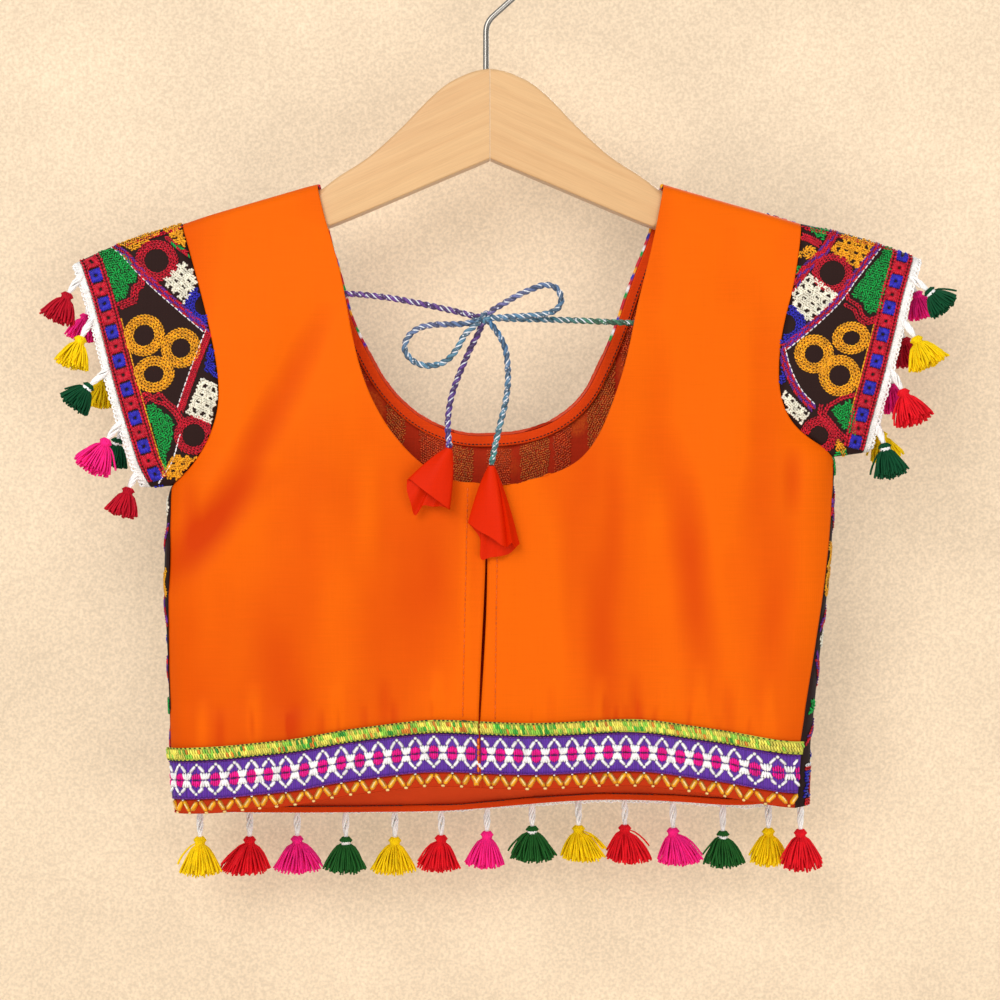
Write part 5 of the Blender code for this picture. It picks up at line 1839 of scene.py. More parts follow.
def cord_finish():
    """Twisted cord with bright tinsel among its coloured yarns."""
    finish = Finish("twisted cord", roughness=0.38, sheen_weight=0.2, specular_ior_level=0.6, coat_weight=0.2)
    tree, place = finish.tree, finish.space()
    bright = remap(tree, cells(tree, place, 620.0, 1.0), 0.2, 0.32, 0.75, 0.0)
    some = remap(tree, noise(tree, place, 260.0), 0.46, 0.56, 0.0, 1.0)
    tinsel = times(tree, bright, some)
    finish.spin(finish.attribute("thread"), 1900.0, 0.1, 0.6)
    finish.feed("Base Color", mixed(tree, tinsel, finish.base(), (0.86, 0.84, 0.9, 1)))
    finish.feed("Metallic", times(tree, tinsel, 0.7))
    return finish.material


def led_to_knot(route):
    """A cord's places, with those of its ends that are near the knot led on into it."""
    places = [Vector(p) * MM for p in route]
    reached = list(places)
    for end in (0, -1):
        gap = Vector(BOW_KNOT) * MM - places[end]
        if gap.length < KNOT_NEAR * MM:
            run_in = places[end] + gap.normalized() * min(KNOT_REACH * MM, gap.length * 0.7)
            reached.insert(len(reached) if end else 0, run_in)
    return reached


def knot_lines(pitch):
    """Three tight turns of cord, each tilted another way."""
    lines = []
    for number, ((wide, deep, high), tilt) in enumerate(KNOT_TURNS):
        circle = []
        for i in range(15):
            a = 2 * math.pi * i / 14
            x, z = placed(0, 0, wide * math.cos(a), high * math.sin(a), tilt)
            circle.append((Vector(BOW_KNOT) + Vector((x, deep * math.sin(a + number), z))) * MM)
        lines += rope_lines(circle, pitch, CORD_COLOURS["bow_left"], number)
    return lines


def build_drawstring():
    pitch = bpy.context.scene.choli_thread.cord_pitch
    cord = cord_finish()
    pieces = {}
    for name, route in DORI_ROUTES.items():
        reached = led_to_knot(route)
        piece = threads(f"{name}_cord", rope_lines(reached, pitch, CORD_COLOURS[name]), cord, 6)
        dressed(piece, "twisted_cord", name)
        pieces[name] = (piece, spline(reached, 0.002))
    dressed(threads("bow_knot_cord", knot_lines(pitch), cord, 6), "twisted_cord", "bow_knot")
    for name, (piece, path) in pieces.items():
        end, mates = ("fitting", [f"latkan_{name[5:]}_cloth"]) if name.startswith("tail") else ("knot", [])
        tuple(path[0])
        run_length(path)
        [tuple(p) for p in path]
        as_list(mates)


LATKANS = {
    # the tip of a cone, then its rim: along the front from left to right and back behind
    "left": (
        (-19.8, -21.6, -264.6),
        [
            (-39.6, -21.5, -279.2), (-33.0, -25.2, -284.2), (-26.6, -26.0, -289.0), (-20.0, -23.6, -293.9),
            (-20.8, -20.6, -293.6), (-24.0, -21.8, -292.6), (-28.4, -18.2, -292.8), (-33.0, -19.8, -292.2),
            (-36.8, -18.4, -297.2), (-38.8, -21.4, -291.0), (-40.6, -20.0, -285.2), (-40.8, -19.6, -281.4),
        ],
    ),
    "right": (
        (0.8, -21.9, -273.0),
        [
            (-10.6, -20.0, -300.8), (-5.4, -23.6, -304.6), (0.6, -25.6, -307.8), (6.4, -27.2, -312.0),
            (8.6, -24.0, -312.4), (10.8, -26.4, -310.4), (12.6, -22.4, -312.6), (14.4, -20.2, -311.0),
            (10.0, -18.2, -315.6), (4.8, -19.8, -317.2), (0.0, -18.2, -317.8), (-4.4, -19.6, -318.6),
            (-4.6, -18.4, -309.0), (-8.6, -18.4, -303.0),
        ],
    ),
}
LATKAN_RINGS = 9
LATKAN_CLOTH = 0.5
LATKAN_NECK = 1.5
LATKAN_BULGE = 0.9


def latkan_edge(rim):
    """A cone's open rim as a closed round of places."""
    closed = [Vector(p) for p in (*rim[-2:], *rim, *rim[:2])]
    smooth = spline(closed, 1.6)
    first = min(range(len(smooth)), key=lambda i: (smooth[i] - closed[2]).length)
    last = min(range(len(smooth) // 2, len(smooth)), key=lambda i: (smooth[i] - closed[-2]).length)
    return smooth[first:last]


def latkan_rings(tip, edge):
    """Rings of places from a cone's tip to its rim, bulged a little between them."""
    middle = sum(edge, Vector()) / len(edge)
    down = (middle - tip).normalized()
    rings = []
    for i in range(LATKAN_RINGS):
        t = i / (LATKAN_RINGS - 1)
        bulge = LATKAN_BULGE * math.sin(math.pi * t ** 0.8)
        ring = []
        for p in edge:
            out = ((p - middle) - down * (p - middle).dot(down)).normalized()
            ring.append(((tip + out * LATKAN_NECK).lerp(p, t) + out * bulge) * MM)
        rings.append(ring)
    return rings


def build_latkans():
    """Cones of folded cloth, drawn together round the cord's ends."""
    cloth = cloth_finish("latkan cloth").material
    for side, (tip, rim) in LATKANS.items():
        work = bmesh.new()
        rings = [[work.verts.new(p) for p in ring] for ring in latkan_rings(Vector(tip), latkan_edge(rim))]
        bridge(work, rings)
        work.faces.new(rings[0])
        bmesh.ops.recalc_face_normals(work, faces=work.faces[:])
        obj = finished(f"latkan_{side}_cloth", work)
        fold = obj.modifiers.new("Cloth", "SOLIDIFY")
        fold.thickness = LATKAN_CLOTH * MM
        fold.offset = 0
        baked(obj)
        cloth_map(obj.data)
        obj.data.materials.append(cloth)
        obj.data.shade_smooth()
        obj.data.set_sharp_from_angle(angle=math.radians(60))
        dressed(obj, "latkan_cloth", f"latkan_{side}")


# Flat sizes of the cloth, and what hangs on what

SHEETS = {
    # piece: flat width and length, area where the cut isn't a rectangle, how it is held,
    # what it rests on, what is on it
    "back_left_cloth": ((0.19, 0.3), 0.036, "hung", ["hanger_left_wood"], ["braid_left_cloth"]),
    "back_right_cloth": ((0.19, 0.3), 0.036, "hung", ["hanger_right_wood"], ["braid_right_cloth"]),
    "back_band_left_cloth": ((0.158, 0.0108), 0.0014, "hung", ["back_left_cloth"], []),
    "back_band_right_cloth": ((0.158, 0.0108), 0.0014, "hung", ["back_right_cloth"], []),
    "ribbon_left_cloth": ((0.168, 0.0193), None, "hung", ["back_left_cloth"], []),
    "ribbon_right_cloth": ((0.168, 0.0193), None, "hung", ["back_right_cloth"], []),
    "front_cloth": (
        (0.36, 0.32), 0.088, "hung", ["hanger_left_wood", "hanger_right_wood"], ["hem_lace_cloth"]
    ),
    "front_lining_cloth": (
        (0.36, 0.32), 0.086, "hung", ["front_cloth"], ["neck_facing_cloth", "hem_facing_cloth"]
    ),
    "sleeve_left_cloth": ((0.25, 0.06), 0.0122, "hung", ["back_left_cloth"], ["sleeve_lace_left_cloth"]),
    "sleeve_right_cloth": ((0.25, 0.06), 0.0122, "hung", ["back_right_cloth"], ["sleeve_lace_right_cloth"]),
    "latkan_left_cloth": ((0.045, 0.036), 0.0011, "gathered", ["tail_left_cord"], []),
    "latkan_right_cloth": ((0.05, 0.048), 0.0017, "gathered", ["tail_right_cord"], []),
}


def declare_sheets():
    for name, (flat, area, held, rests_on, mates) in SHEETS.items():
        [mate for mate in mates if mate in bpy.data.objects]
        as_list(rests_on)


# Stage

WALL_HALF = 0.62
WALL_AWAY = 0.052
WALL_MIDDLE = -0.3
WALL_GLOW = 0.45
FLOOR_RADIUS = 0.72
CAMERA_PLACE = (0.005, -1.18056, -0.2895)
CAMERA_LENS = 85
WARM_LIGHT = (1, 0.985, 0.965)
LAMPS = [
    # name, place, what it is aimed at, size, share of the key light's power
    ("key light", (-0.8, -1.6, 0.6), (0, 0, -0.3), 1.3, 1),
    ("fill light", (0.75, -1.5, -0.8), (0, 0, -0.35), 1.2, 0.4),
    ("back light", (0.6, 1.5, 0.6), (0, 0, -0.3), 1.2, 0.6),
]


def build_camera(scene):
    camera = bpy.data.objects.new("camera", bpy.data.cameras.new("camera"))
    camera.data.lens = CAMERA_LENS
    camera.data.sensor_width = 36
    camera.location = CAMERA_PLACE
    camera.rotation_euler = (math.pi / 2, 0, 0)
    scene.collection.objects.link(camera)
    scene.camera = camera


def build_floor(stage):
    work = bmesh.new()
    bmesh.ops.create_circle(work, cap_ends=True, segments=96, radius=FLOOR_RADIUS)
    bmesh.ops.translate(work, verts=work.verts[:], vec=(0, 0, stage.floor_drop))
    floor = finished("floor", work)
    matt = Finish("floor", roughness=0.85)
    clouds = remap(matt.tree, noise(matt.tree, matt.space(), 60.0, 4.0), 0.3, 0.7, 0.96, 1.03)
    matt.feed("Base Color", shaded(matt, (*stage.floor, 1), clouds))
    floor.data.materials.append(matt.material)
    floor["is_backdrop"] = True


def build_wall(stage):
    """A cream wall seen only from the front, which casts no shadow and holds no light back."""
    mesh = bpy.data.meshes.new("wall")
    corners = [
        (x * WALL_HALF, WALL_AWAY, WALL_MIDDLE + z * WALL_HALF)
        for x, z in ((-1, -1), (1, -1), (1, 1), (-1, 1))
    ]
    mesh.from_pydata(corners, [], [(0, 1, 2, 3)])
    wall = new_object("wall", mesh)
    plaster = Finish("wall", roughness=0.8, specular_ior_level=0.2, emission_strength=WALL_GLOW)
    tree, place = plaster.tree, plaster.space()
    clouds = remap(tree, noise(tree, place, 12.0, 4.0), 0.3, 0.7, 0.9, 1.05)
    specks = remap(tree, noise(tree, place, 620.0, 2.0, 0.6), 0.35, 0.68, 0.89, 1.11)
    paint = shaded(plaster, shaded(plaster, (*stage.backdrop, 1), clouds), specks)
    plaster.feed("Emission Color", paint)
    plaster.feed("Base Color", shaded(plaster, paint, (1 - WALL_GLOW, 1 - WALL_GLOW, 1 - WALL_GLOW, 1)))
    behind = add_node(tree, "ShaderNodeNewGeometry").outputs["Backfacing"]
    plaster.feed("Alpha", minus(tree, 1.0, behind))
    mesh.materials.append(plaster.material)
    wall.visible_shadow = wall.visible_diffuse = wall.visible_glossy = False
    wall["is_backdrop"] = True


def build_lights(scene, stage):
    world = bpy.data.worlds.new("studio")
    world.use_nodes = True
    sky = world.node_tree.nodes["Background"]
    sky.inputs["Color"].default_value = (*stage.sky, 1)
    sky.inputs["Strength"].default_value = stage.sky_strength
    scene.world = world
    for name, place, aim, size, share in LAMPS:
        light = bpy.data.objects.new(name, bpy.data.lights.new(name, "AREA"))
        light.data.shape = "DISK"
        light.data.size = size
        light.data.energy = stage.key_power * share
        light.data.color = WARM_LIGHT
        light.location = place
        light.rotation_euler = (Vector(aim) - Vector(place)).to_track_quat("-Z", "Y").to_euler()
        scene.collection.objects.link(light)


def build_stage():
    scene = bpy.context.scene
    stage = scene.choli_stage
    build_camera(scene)
    build_floor(stage)
    build_wall(stage)
    build_lights(scene, stage)
    scene.view_settings.view_transform = "Standard"


# Embroidery

SLEEVE_WAYS = {
    # inward from the hem, down from the shoulder fold
    -1: ((0.953, 0.302), (0.302, -0.953)),
    1: ((-0.970, 0.243), (-0.243, -0.970)),
}
SLEEVE_SQUARES = {
    # how far in, the first one's depth, the pitch, how many, their two colours
    -1: (5.4, 3.8, 7.3, 16, "crimson", "blue"),
    1: (5.5, 2.3, 6.8, 15, "blue", "crimson"),
}
TICKED = {"rows": 3, "tick": "white"}
PIERCED = {"holes": 4.1}
SLEEVE_MOTIFS = {
    # stitch, its places in millimetres in from the hem and down from the fold, its thread
    -1: [
        ("fill", [(20.5, -3), (44, -5), (43, 0.5), (34, 3), (26, 5)], "gold"),
        ("fill", [(44.5, -4), (56, -4), (54.5, 13), (47.5, 7.2)], "gold", PIERCED),
        ("band", [(44.5, 3.5), (49, 11), (57, 21)], ["crimson", "crimson", "green"], 2),
        ("chain", [(26, 0.7), (58, 0.7)], "crimson", 1.2),
        ("ring", 36, 13, 6.1, 10.4, "crimson"),
        ("fill", [(10.6, -1), (18.4, 0), (23.4, 7.7), (24.7, 17.3),
                  (22.9, 20), (19.7, 19.7), (16.7, 25.5), (11, 26.6)], "green"),
        ("chain", [(26, 17.5), (25, 21.5), (21.4, 22), (19, 27.5), (11, 28.2)], "crimson", 1.3),
        ("chain", [(27, 19), (26, 23), (22.8, 24), (20.5, 29.5), (13, 30.2)], "crimson", 1.2),
        ("fill", [(47.6, 16.4), (55, 27.6), (43, 37.4), (35.4, 23.6)], "cream", PIERCED),
        ("ring", 52.8, 41, 5.2, 9.8, "blue"),
        ("band", [(19.7, -1), (28.5, 18.5), (40, 37), (51.6, 54)], ["crimson", "purple"], TICKED),
        ("band", [(51.6, 54.5), (43, 66), (35.9, 76), (27.5, 88)], ["crimson"], TICKED),
        ("ring", 20.3, 46.6, 5.4, 10.2, "gold"),
        ("ring", 36.3, 58, 5.0, 9.8, "gold"),
        ("ring", 20.2, 66.4, 5.2, 10.2, "gold", {"squash": 0.86, "tilt": 0.25}),
        ("line", [(11.4, 36), (11.6, 70), (11.2, 116)], "gold", {"length": 2.4, "width": 0.9}),
        ("fill", [(50.7, 59.3), (53.5, 64), (50, 79), (44.5, 71.4)], "blue"),
        ("fill", [(42, 75), (49.5, 81.5), (40.4, 97.8), (30, 89.4)], "cream", PIERCED),
        ("chain", [(10.5, 76.5), (14, 74), (17, 77.5), (20.5, 76.5),
                   (22.5, 81), (26, 86), (28, 93)], "crimson", 1.4),
        ("chain", [(11, 79), (15, 76.8), (18, 80), (21.5, 82), (25, 88), (26, 95)], "crimson", 1.3),
        ("fill", [(12, 81), (15.5, 79.5), (19, 84), (23, 91),
                  (20.5, 99), (15, 106), (10, 116), (12.5, 98)], "green"),
        ("ring", 30.6, 100.9, 5.8, 9.6, "crimson"),
        ("fill", [(18.5, 107), (28.5, 111.5), (16, 121), (6.5, 115)], "gold", PIERCED),
        ("line", [(24, 99), (17, 109), (5, 118)], "white", {"width": 0.8}),
        ("fill", [(2, 118), (14, 121), (10, 127), (0, 123)], "blue"),
    ],
    1: [
        ("fill", [(36.3, -2), (20.4, -1.5), (25, 14.8), (40.5, 8.7)], "gold", PIERCED),
        ("ring", 36.6, 19.4, 6.4, 9.8, "crimson"),
        ("band", [(41, -2), (43.6, 9.8), (49, 19.3), (56.5, 36)], ["purple", "crimson", "crimson"], 4),
        ("fill", [(54.6, 0), (44.1, -2), (46, 5)], "green"),
        ("band", [(46.5, 7), (52, 5.5), (60, 5)], ["crimson"], 3),
        ("chain", [(10, 0.7), (58, 0.7)], "crimson", 1.2),
        ("ring", 50.2, 12, 0.6, 3.4, "gold", 2),
        ("ring", 56.4, 14.6, 0.6, 3.2, "gold", 2),
        ("fill", [(52, 19), (57, 22), (58, 30), (54, 27)], "green"),
        ("fill", [(47.3, 22.5), (31.2, 29.6), (42.4, 47), (55.2, 36.3)], "cream", PIERCED),
        ("ring", 53, 49.5, 5.2, 9.8, "blue"),
        ("fill", [(13.6, -1.5), (11.2, -1.5), (9.8, 14), (9.4, 30.5), (13, 34.6),
                  (16.5, 33.6), (18.4, 30), (25, 27.8), (24, 24.5), (18.6, 10.8)], "green"),
        ("chain", [(9.6, 35), (14, 38), (17.5, 36.6), (20, 32.4), (26, 30.4), (28.4, 26)], "crimson", 1.3),
        ("chain", [(11, 37.6), (15, 40.2), (19.4, 38.4), (22, 34.6), (28, 33)], "crimson", 1.2),
        ("band", [(18, -1), (25.6, 18), (31.4, 32), (41.8, 48.3), (52, 62)], ["crimson", "purple"], TICKED),
        ("band", [(51.8, 62.5), (47.4, 70.4), (39.4, 80.2), (29, 87.2)], ["crimson", "purple"], TICKED),
        ("ring", 20.2, 48.6, 4.6, 9.4, "gold", {"squash": 0.84, "tilt": 0.35}),
        ("ring", 36.0, 60.6, 4.8, 9.6, "gold"),
        ("ring", 21.2, 68, 5.4, 10.2, "gold"),
        ("line", [(10.9, 40), (11.2, 60), (11.2, 84)], "gold", {"length": 2.4, "width": 0.9}),
        ("fill", [(53, 63), (49.5, 71), (46, 78), (51, 80)], "blue"),
        ("fill", [(45.3, 81.3), (31, 89.4), (33.4, 95.8), (48, 88)], "cream", PIERCED),
        ("fill", [(20.9, 84.6), (12.7, 78), (9, 84), (6, 94.5), (13.7, 92.4)], "green"),
        ("chain", [(12, 75.6), (17, 78), (22.8, 83.8), (24, 88), (15, 94.6), (9, 98)], "crimson", 1.4),
        ("chain", [(26.4, 84.6), (26, 89.6), (17, 96), (12, 98.6)], "crimson", 1.4),
        ("ring", 24, 99, 5.0, 9.2, "crimson"),
        ("fill", [(14, 97.6), (10, 101), (8, 106), (15, 103)], "gold"),
        ("fill", [(9, 102), (14, 105), (12, 112), (5, 108)], "green"),
    ],
}


def planned(land, plan):
    """Lands the places of a plan that has its own measures."""
    return lambda along, down: land(*plan(along, down))


def masked(land, wanted):
    """Lands only the places that are wanted."""
    return lambda x, z: land(x, z) if wanted(x, z) else None


def sew(needle, motifs):
    """Works a table of motifs."""
    for kind, *details in motifs:
        options = details.pop() if isinstance(details[-1], dict) else {}
        getattr(needle, kind)(*details, **options)


def sleeve_plan(side):
    """Turns a place in from a sleeve's hem and down from its fold into x and z."""
    inward, down = (Vector(way) for way in SLEEVE_WAYS[side])
    hem = [Vector(p) for p in SLEEVE_HEM[side]]
    across = [((p - hem[0]).dot(down), p.x) for p in hem]
    heights = [((p - hem[0]).dot(down), p.y) for p in hem]

    def plan(far, depth):
        over = depth - min(max(depth, 0.0), across[-1][0])
        place = Vector((looked_up(across, depth), looked_up(heights, depth))) + down * over + inward * far
        return place.x, place.y
    return plan


def thread_material():
    return kept("embroidery thread", thread_finish)


def sleeve_needle(side, name, back):
    """One face of a sleeve, worked on the plan of its hem and its fold."""
    land = planned(straight_land([f"sleeve_{name}"], back), sleeve_plan(side))
    needle = Needle(land, 40 + side + 4 * back, 2.8, 1.3)
    far, first, pitch, count, *colours = SLEEVE_SQUARES[side]
    for i in range(count):
        needle.rosette(far, first + pitch * i, 0.8, 3.4, colours[i % 2])
    last = first + pitch * (count - 0.5)
    needle.chain([(1.5, -1), (1.5, last)], "crimson", width=1.7)
    needle.chain([(9.5, -1), (9.5, last)], "crimson", width=2.0)
    sew(needle, SLEEVE_MOTIFS[side])
    return needle


def build_sleeve_stitches():
    for side, name in SIDES:
        needle = sleeve_needle(side, name, True)
        needle.add(sleeve_needle(side, name, False))
        needle.sewn(f"sleeve_{name}_stitches", "embroidered_cloth")


# The front, whose pattern is a made-up one of the same family as the sleeves'

FRONT_BAND_HIGH = 23.0
FIELD_HALF_WIDTH = 30.0
FIELD_HALF_HEIGHT = 33.0
FIELD_TOP = -128.0
FIELD_ROWS = 10
FIELD_COLUMNS = 4


def offset_route(points, distance, step=2.0):
    """A route beside another, to its right by a distance."""
    places = spline(flat_places(points), step)
    route = []
    for i, place in enumerate(places):
        ahead = places[min(i + 1, len(places) - 1)] - places[max(i - 1, 0)]
        ahead.normalize()
        route.append((place.x + ahead.y * distance, place.y - ahead.x * distance))
    return route


def route_distance(route, x, z):
    """How far a place is from a route."""
    best = 1e9
    for (ax, az), (bx, bz) in zip(route, route[1:]):
        dx, dz = bx - ax, bz - az
        t = min(1.0, max(0.0, ((x - ax) * dx + (z - az) * dz) / (dx * dx + dz * dz)))
        best = min(best, (ax + dx * t - x) ** 2 + (az + dz * t - z) ** 2)
    return math.sqrt(best)


def hem_land(land, hem):
    """Lands places given along a hem and up from it."""
    return lambda x, up: land(x, looked_up(hem, real_x(x, hem[0][1])) + up)


def armhole_route(side):
    return [(x, z) for z, x in ARMHOLE[side]]


def front_borders(needle):
    """Squares between two rows of chain along the neckline, and chain round the armholes."""
    needle.chain(offset_route(FRONT_NECK, 1.6), "crimson", width=1.1)
    needle.chain(offset_route(FRONT_NECK, 9.4), "crimson", width=1.1)
    middle = flat_places(offset_route(FRONT_NECK, 5.5))
    for number, (at, turn) in enumerate(stepped(middle, 7.2, 3.0)):
        needle.rosette(at.x, at.y, 0.9, 2.8, ("blue", "crimson")[number % 2], turn)
    for side, _ in SIDES:
        needle.chain(offset_route(armhole_route(side), -side * 2.0), "crimson", width=1.1)
        needle.chain(offset_route(armhole_route(side), -side * 4.2), "gold", width=1.0)


def diamond(x, z, wide, high):
    return [(x - wide, z), (x, z + high), (x + wide, z), (x, z - high)]


def three_rings(needle, x, z):
    for turn in (90, 210, 330):
        a = math.radians(turn)
        needle.ring(x + 8.6 * math.cos(a), z + 8.6 * math.sin(a), 3.4, 7.4, "gold")


def ring_and_patches(needle, x, z):
    needle.ring(x, z, 6.5, 10.6, "crimson")
    for turn in (0, 180):
        needle.fill(diamond(x + 17.5 * math.cos(math.radians(turn)), z, 5, 5.5), "cream", 1.6, holes=4.0)


LEAF = ((4, 0), (8, 4), (14, 3.4), (18, 0), (14, -3.4), (8, -4))  # out from the middle, across


def four_leaves(needle, x, z):
    for turn in (0, 90, 180, 270):
        a = math.radians(turn)
        along, across = Vector((math.cos(a), math.sin(a))), Vector((-math.sin(a), math.cos(a)))
        leaf = [along * r + across * s for r, s in LEAF]
        needle.fill([(x + p.x, z + p.y) for p in leaf], "green", 1.8)
    needle.ring(x, z, 0.8, 3.6, "crimson", 2)


def front_field(needle):
    """Diamonds of twisted bands with rings, pierced patches and leaves in them."""
    colours = ["crimson", "purple"]
    for row in range(FIELD_ROWS):
        for column in range(-FIELD_COLUMNS, FIELD_COLUMNS + 1):
            x = FIELD_HALF_WIDTH * (2 * column + row % 2)
            z = FIELD_TOP - FIELD_HALF_HEIGHT * row
            low = (x, z - FIELD_HALF_HEIGHT)
            needle.band([(x - FIELD_HALF_WIDTH, z), low], colours, 2, 1.75, "white")
            needle.band([low, (x + FIELD_HALF_WIDTH, z)], colours, 2, 1.75)
            kind = (column * 2 + row * 3) % 4
            if kind < 3:
                (three_rings, ring_and_patches, four_leaves)[kind](needle, x, z)
            else:
                patch = diamond(x, z, 13, 14.5)
                needle.fill(patch, "cream" if row % 2 else "gold", 1.6, holes=4.2)
                needle.chain([*patch, patch[0]], "blue", width=1.3)


def front_hem_band(needle):
    """The blue band of discs and ovals above the front's hem, between its red and white rows."""
    for up, colour, width in ((1.4, "red", 1.3), (3.0, "red", 1.2), (18.8, "red", 1.3), (20.4, "white", 1.0)):
        needle.chain([(x, up) for x in range(-176, 181, 4)], colour, width=width)
    for number, x in enumerate(range(-170, 176, 17)):
        if number % 2:
            needle.ring(x, 10.8, 3.4, 6.6, "crimson")
        else:
            turns = [math.radians(turn) for turn in range(0, 360, 30)]
            needle.fill([(x + 3.2 * math.cos(a), 10.8 + 4.8 * math.sin(a)) for a in turns], "cream", 1.5)
        gap = [(x + 6.9, 4.6), (x + 10.1, 4.6), (x + 10.1, 17.2), (x + 6.9, 17.2)]
        needle.fill(gap, "blue", 1.6, angle=0.0, length=2.9, width=1.5)
        for up in (4.9, 16.9):
            needle.line([(x - 7, up), (x + 7, up)], "blue", length=3.0, width=1.5)


def build_front_stitches():
    land = body_land(["front"], False)
    neck = offset_route(FRONT_NECK, 0.0, 9.0)
    holes = [offset_route(armhole_route(side), 0.0, 12.0) for side, _ in SIDES]

    def in_field(x, z):
        if z < looked_up(FRONT_HEM, real_x(x, -440.0)) + FRONT_BAND_HIGH:
            return False
        return route_distance(neck, x, z) > 11.2 and min(route_distance(hole, x, z) for hole in holes) > 5.4

    field = Needle(masked(land, in_field), 51, 3.3, 1.5)
    front_field(field)
    borders = Needle(land, 52, 3.0, 1.3)
    front_borders(borders)
    hem = Needle(hem_land(land, FRONT_HEM), 53, 3.2, 1.4)
    front_hem_band(hem)
    field.add(borders)
    field.add(hem)
    field.sewn("front_stitches", "embroidered_cloth")


# Trims of the back

BRAID_KNOTS = [(-12.5, -398.2), (2.0, -398.6)]
RIBBON_MIDDLE = (RIBBON_LOW + RIBBON_HIGH) / 2


def ribbon_repeat(needle, x, gap):
    """One oval of the ribbon with its lattice, and the rungs between it and the next."""
    middle = RIBBON_MIDDLE
    for k in range(-2, 3):
        half = 3.9 - 0.26 * k ** 2
        for sign in (-1, 1):
            place = middle + sign * (half / 2 - 0.1)
            needle.stitch(x + k * 0.9, place, math.pi / 2, "magenta", half, 1.15)
    needle.stitch(x, middle, 0.0, "ground", 4.0, 0.26, 0.75)
    needle.stitch(x, middle + 7.6, 0.0, "white", 1.8, 1.7, 0.5)
    needle.stitch(x, middle - 6.9, 0.0, "white", 1.8, 1.7, 0.5)
    for sign in (-1, 1):
        for off in (-1.5, -0.5, 0.5, 1.5):
            lean = math.pi / 2 - sign * off * 0.2
            place = middle + sign * (1.8 + 0.12 * abs(off))
            needle.stitch(x + gap + off, place, lean, "white", 4.2, 1.6, 0.45)
    for lean in (-1, 1):
        needle.stitch(x + lean * 1.95, middle + 5.45, -lean * math.radians(55), "white", 5.0, 1.8, 0.4)
        needle.stitch(x + lean * 1.9, middle - 4.95, lean * math.radians(48), "white", 4.7, 1.8, 0.4)


def zigzag_repeat(needle, x, gap):
    """One tooth of the gold zigzag under the ribbon, with a painted highlight along each of its gold strokes.
    """
    low = RIBBON_LOW
    needle.stitch(x, low - 0.3, 0.0, "white", 1.3, 1.1, 0.5)
    needle.stitch(x + gap, low - 6.6, 0.0, "pale gold and highlight", 2.0, 1.3, 0.5)
    for lean in (-1, 1):
        steep = -lean * math.radians(56)
        needle.stitch(x + lean * 2.2, low - 3.3, steep, "gold", 7.2, 2.7, 0.4)
        # the pale stripe along each gold stroke is a painted highlight
        needle.stitch(x + lean * 2.4, low - 3.2, steep, "pale gold and highlight", 4.6, 1.2, 1.2)


def build_ribbon_stitches():
    """Magenta ovals in a white lattice on the ribbon, and the gold zigzag under it."""
    ribbon = body_land(["ribbon_left", "ribbon_right"], True)
    needle = Needle(hem_land(ribbon, BACK_HEM), 61, 3.0, 0.9, (0.85, 1.12))
    band = body_land(["back_band_left", "back_band_right"], True)
    zigzag = Needle(hem_land(band, BACK_HEM), 62, 3.0, 0.8, (0.85, 1.12))
    repeats = [(-9.4 - 9.1 * k + 0.7 * max(0, k - 10), -4.55) for k in range(18)]
    repeats += [(-3.7 + 8.85 * k, 4.4) for k in range(19)]
    for x, gap in repeats:
        ribbon_repeat(needle, x, gap)
        zigzag_repeat(zigzag, x, gap)
    for up in (RIBBON_LOW + 0.7, RIBBON_HIGH - 0.7):
        needle.line([(x, up) for x in range(-170, 172, 6)], "purple", length=2.2, width=0.7)
    for depth in range(6):
        needle.stitch(-5.7, RIBBON_LOW + 2.0 + 2.8 * depth, math.pi / 2, "orange", 3.2, 1.3, 0.5)
    needle.sewn("ribbon_stitches", "purple_ribbon")
    zigzag.sewn("band_stitches", "rust_cloth")


def build_braid_stitches():
    """Upright stitches of changing colour between two dark rows of knots."""
    braid = body_land(["braid_left", "braid_right"], True)
    needle = Needle(hem_land(braid, BACK_HEM), 63, 3.0, 0.9)
    low, high = RIBBON_HIGH, BRAID_HIGH
    for i in range(-156, 157):
        x = i * 1.1
        patch = perlin.noise(Vector((x * 0.11, 3.0, 0.5)))
        for up in (low + 2.2, high - 2.3):
            kinds = ["lemon", "lemon", "lemon", "lime"] if patch < 0.1 else ["lime", "fresh green", "lemon"]
            if needle.chance.random() < 0.09:
                kinds = ["amber"]
            needle.stitch(x, up, math.pi / 2 + 0.3, needle.chance.choice(kinds), 3.4, 1.35)
    for up in (low + 0.35, high - 0.35):
        x = -172.0
        while x < 172:
            needle.stitch(x, up, 0.0, "bottle", 1.4, 0.6, 0.5)
            x += 2.1
    for x, z in BRAID_KNOTS:
        for turn in range(4):
            needle.stitch(x, z - looked_up(BACK_HEM, x), turn * math.pi / 4, "bottle", 3.2, 0.9, 0.5)
    needle.sewn("braid_stitches", "lime_braid")


def lining_patches():
    """The warm backs of the front's stitches, below the neckline on the lining."""
    needle = Needle(straight_land(["front_lining"], True), 68, 2.2, 0.9, (0.7, 1.15))
    for number, x in enumerate(range(-70, 80, 17)):
        top = looked_up(FRONT_NECK, x) - 7.5
        wide = needle.chance.uniform(9, 15.5)
        beside = looked_up(FRONT_NECK, x + wide) - 7.5
        patch = [(x, top), (x + wide, beside), (x + wide - 1, top - 24), (x + 1, top - 25)]
        needle.fill(patch, ("dull orange", "dull gold")[number % 2], 1.15, length=1.5, width=0.75)
    return needle


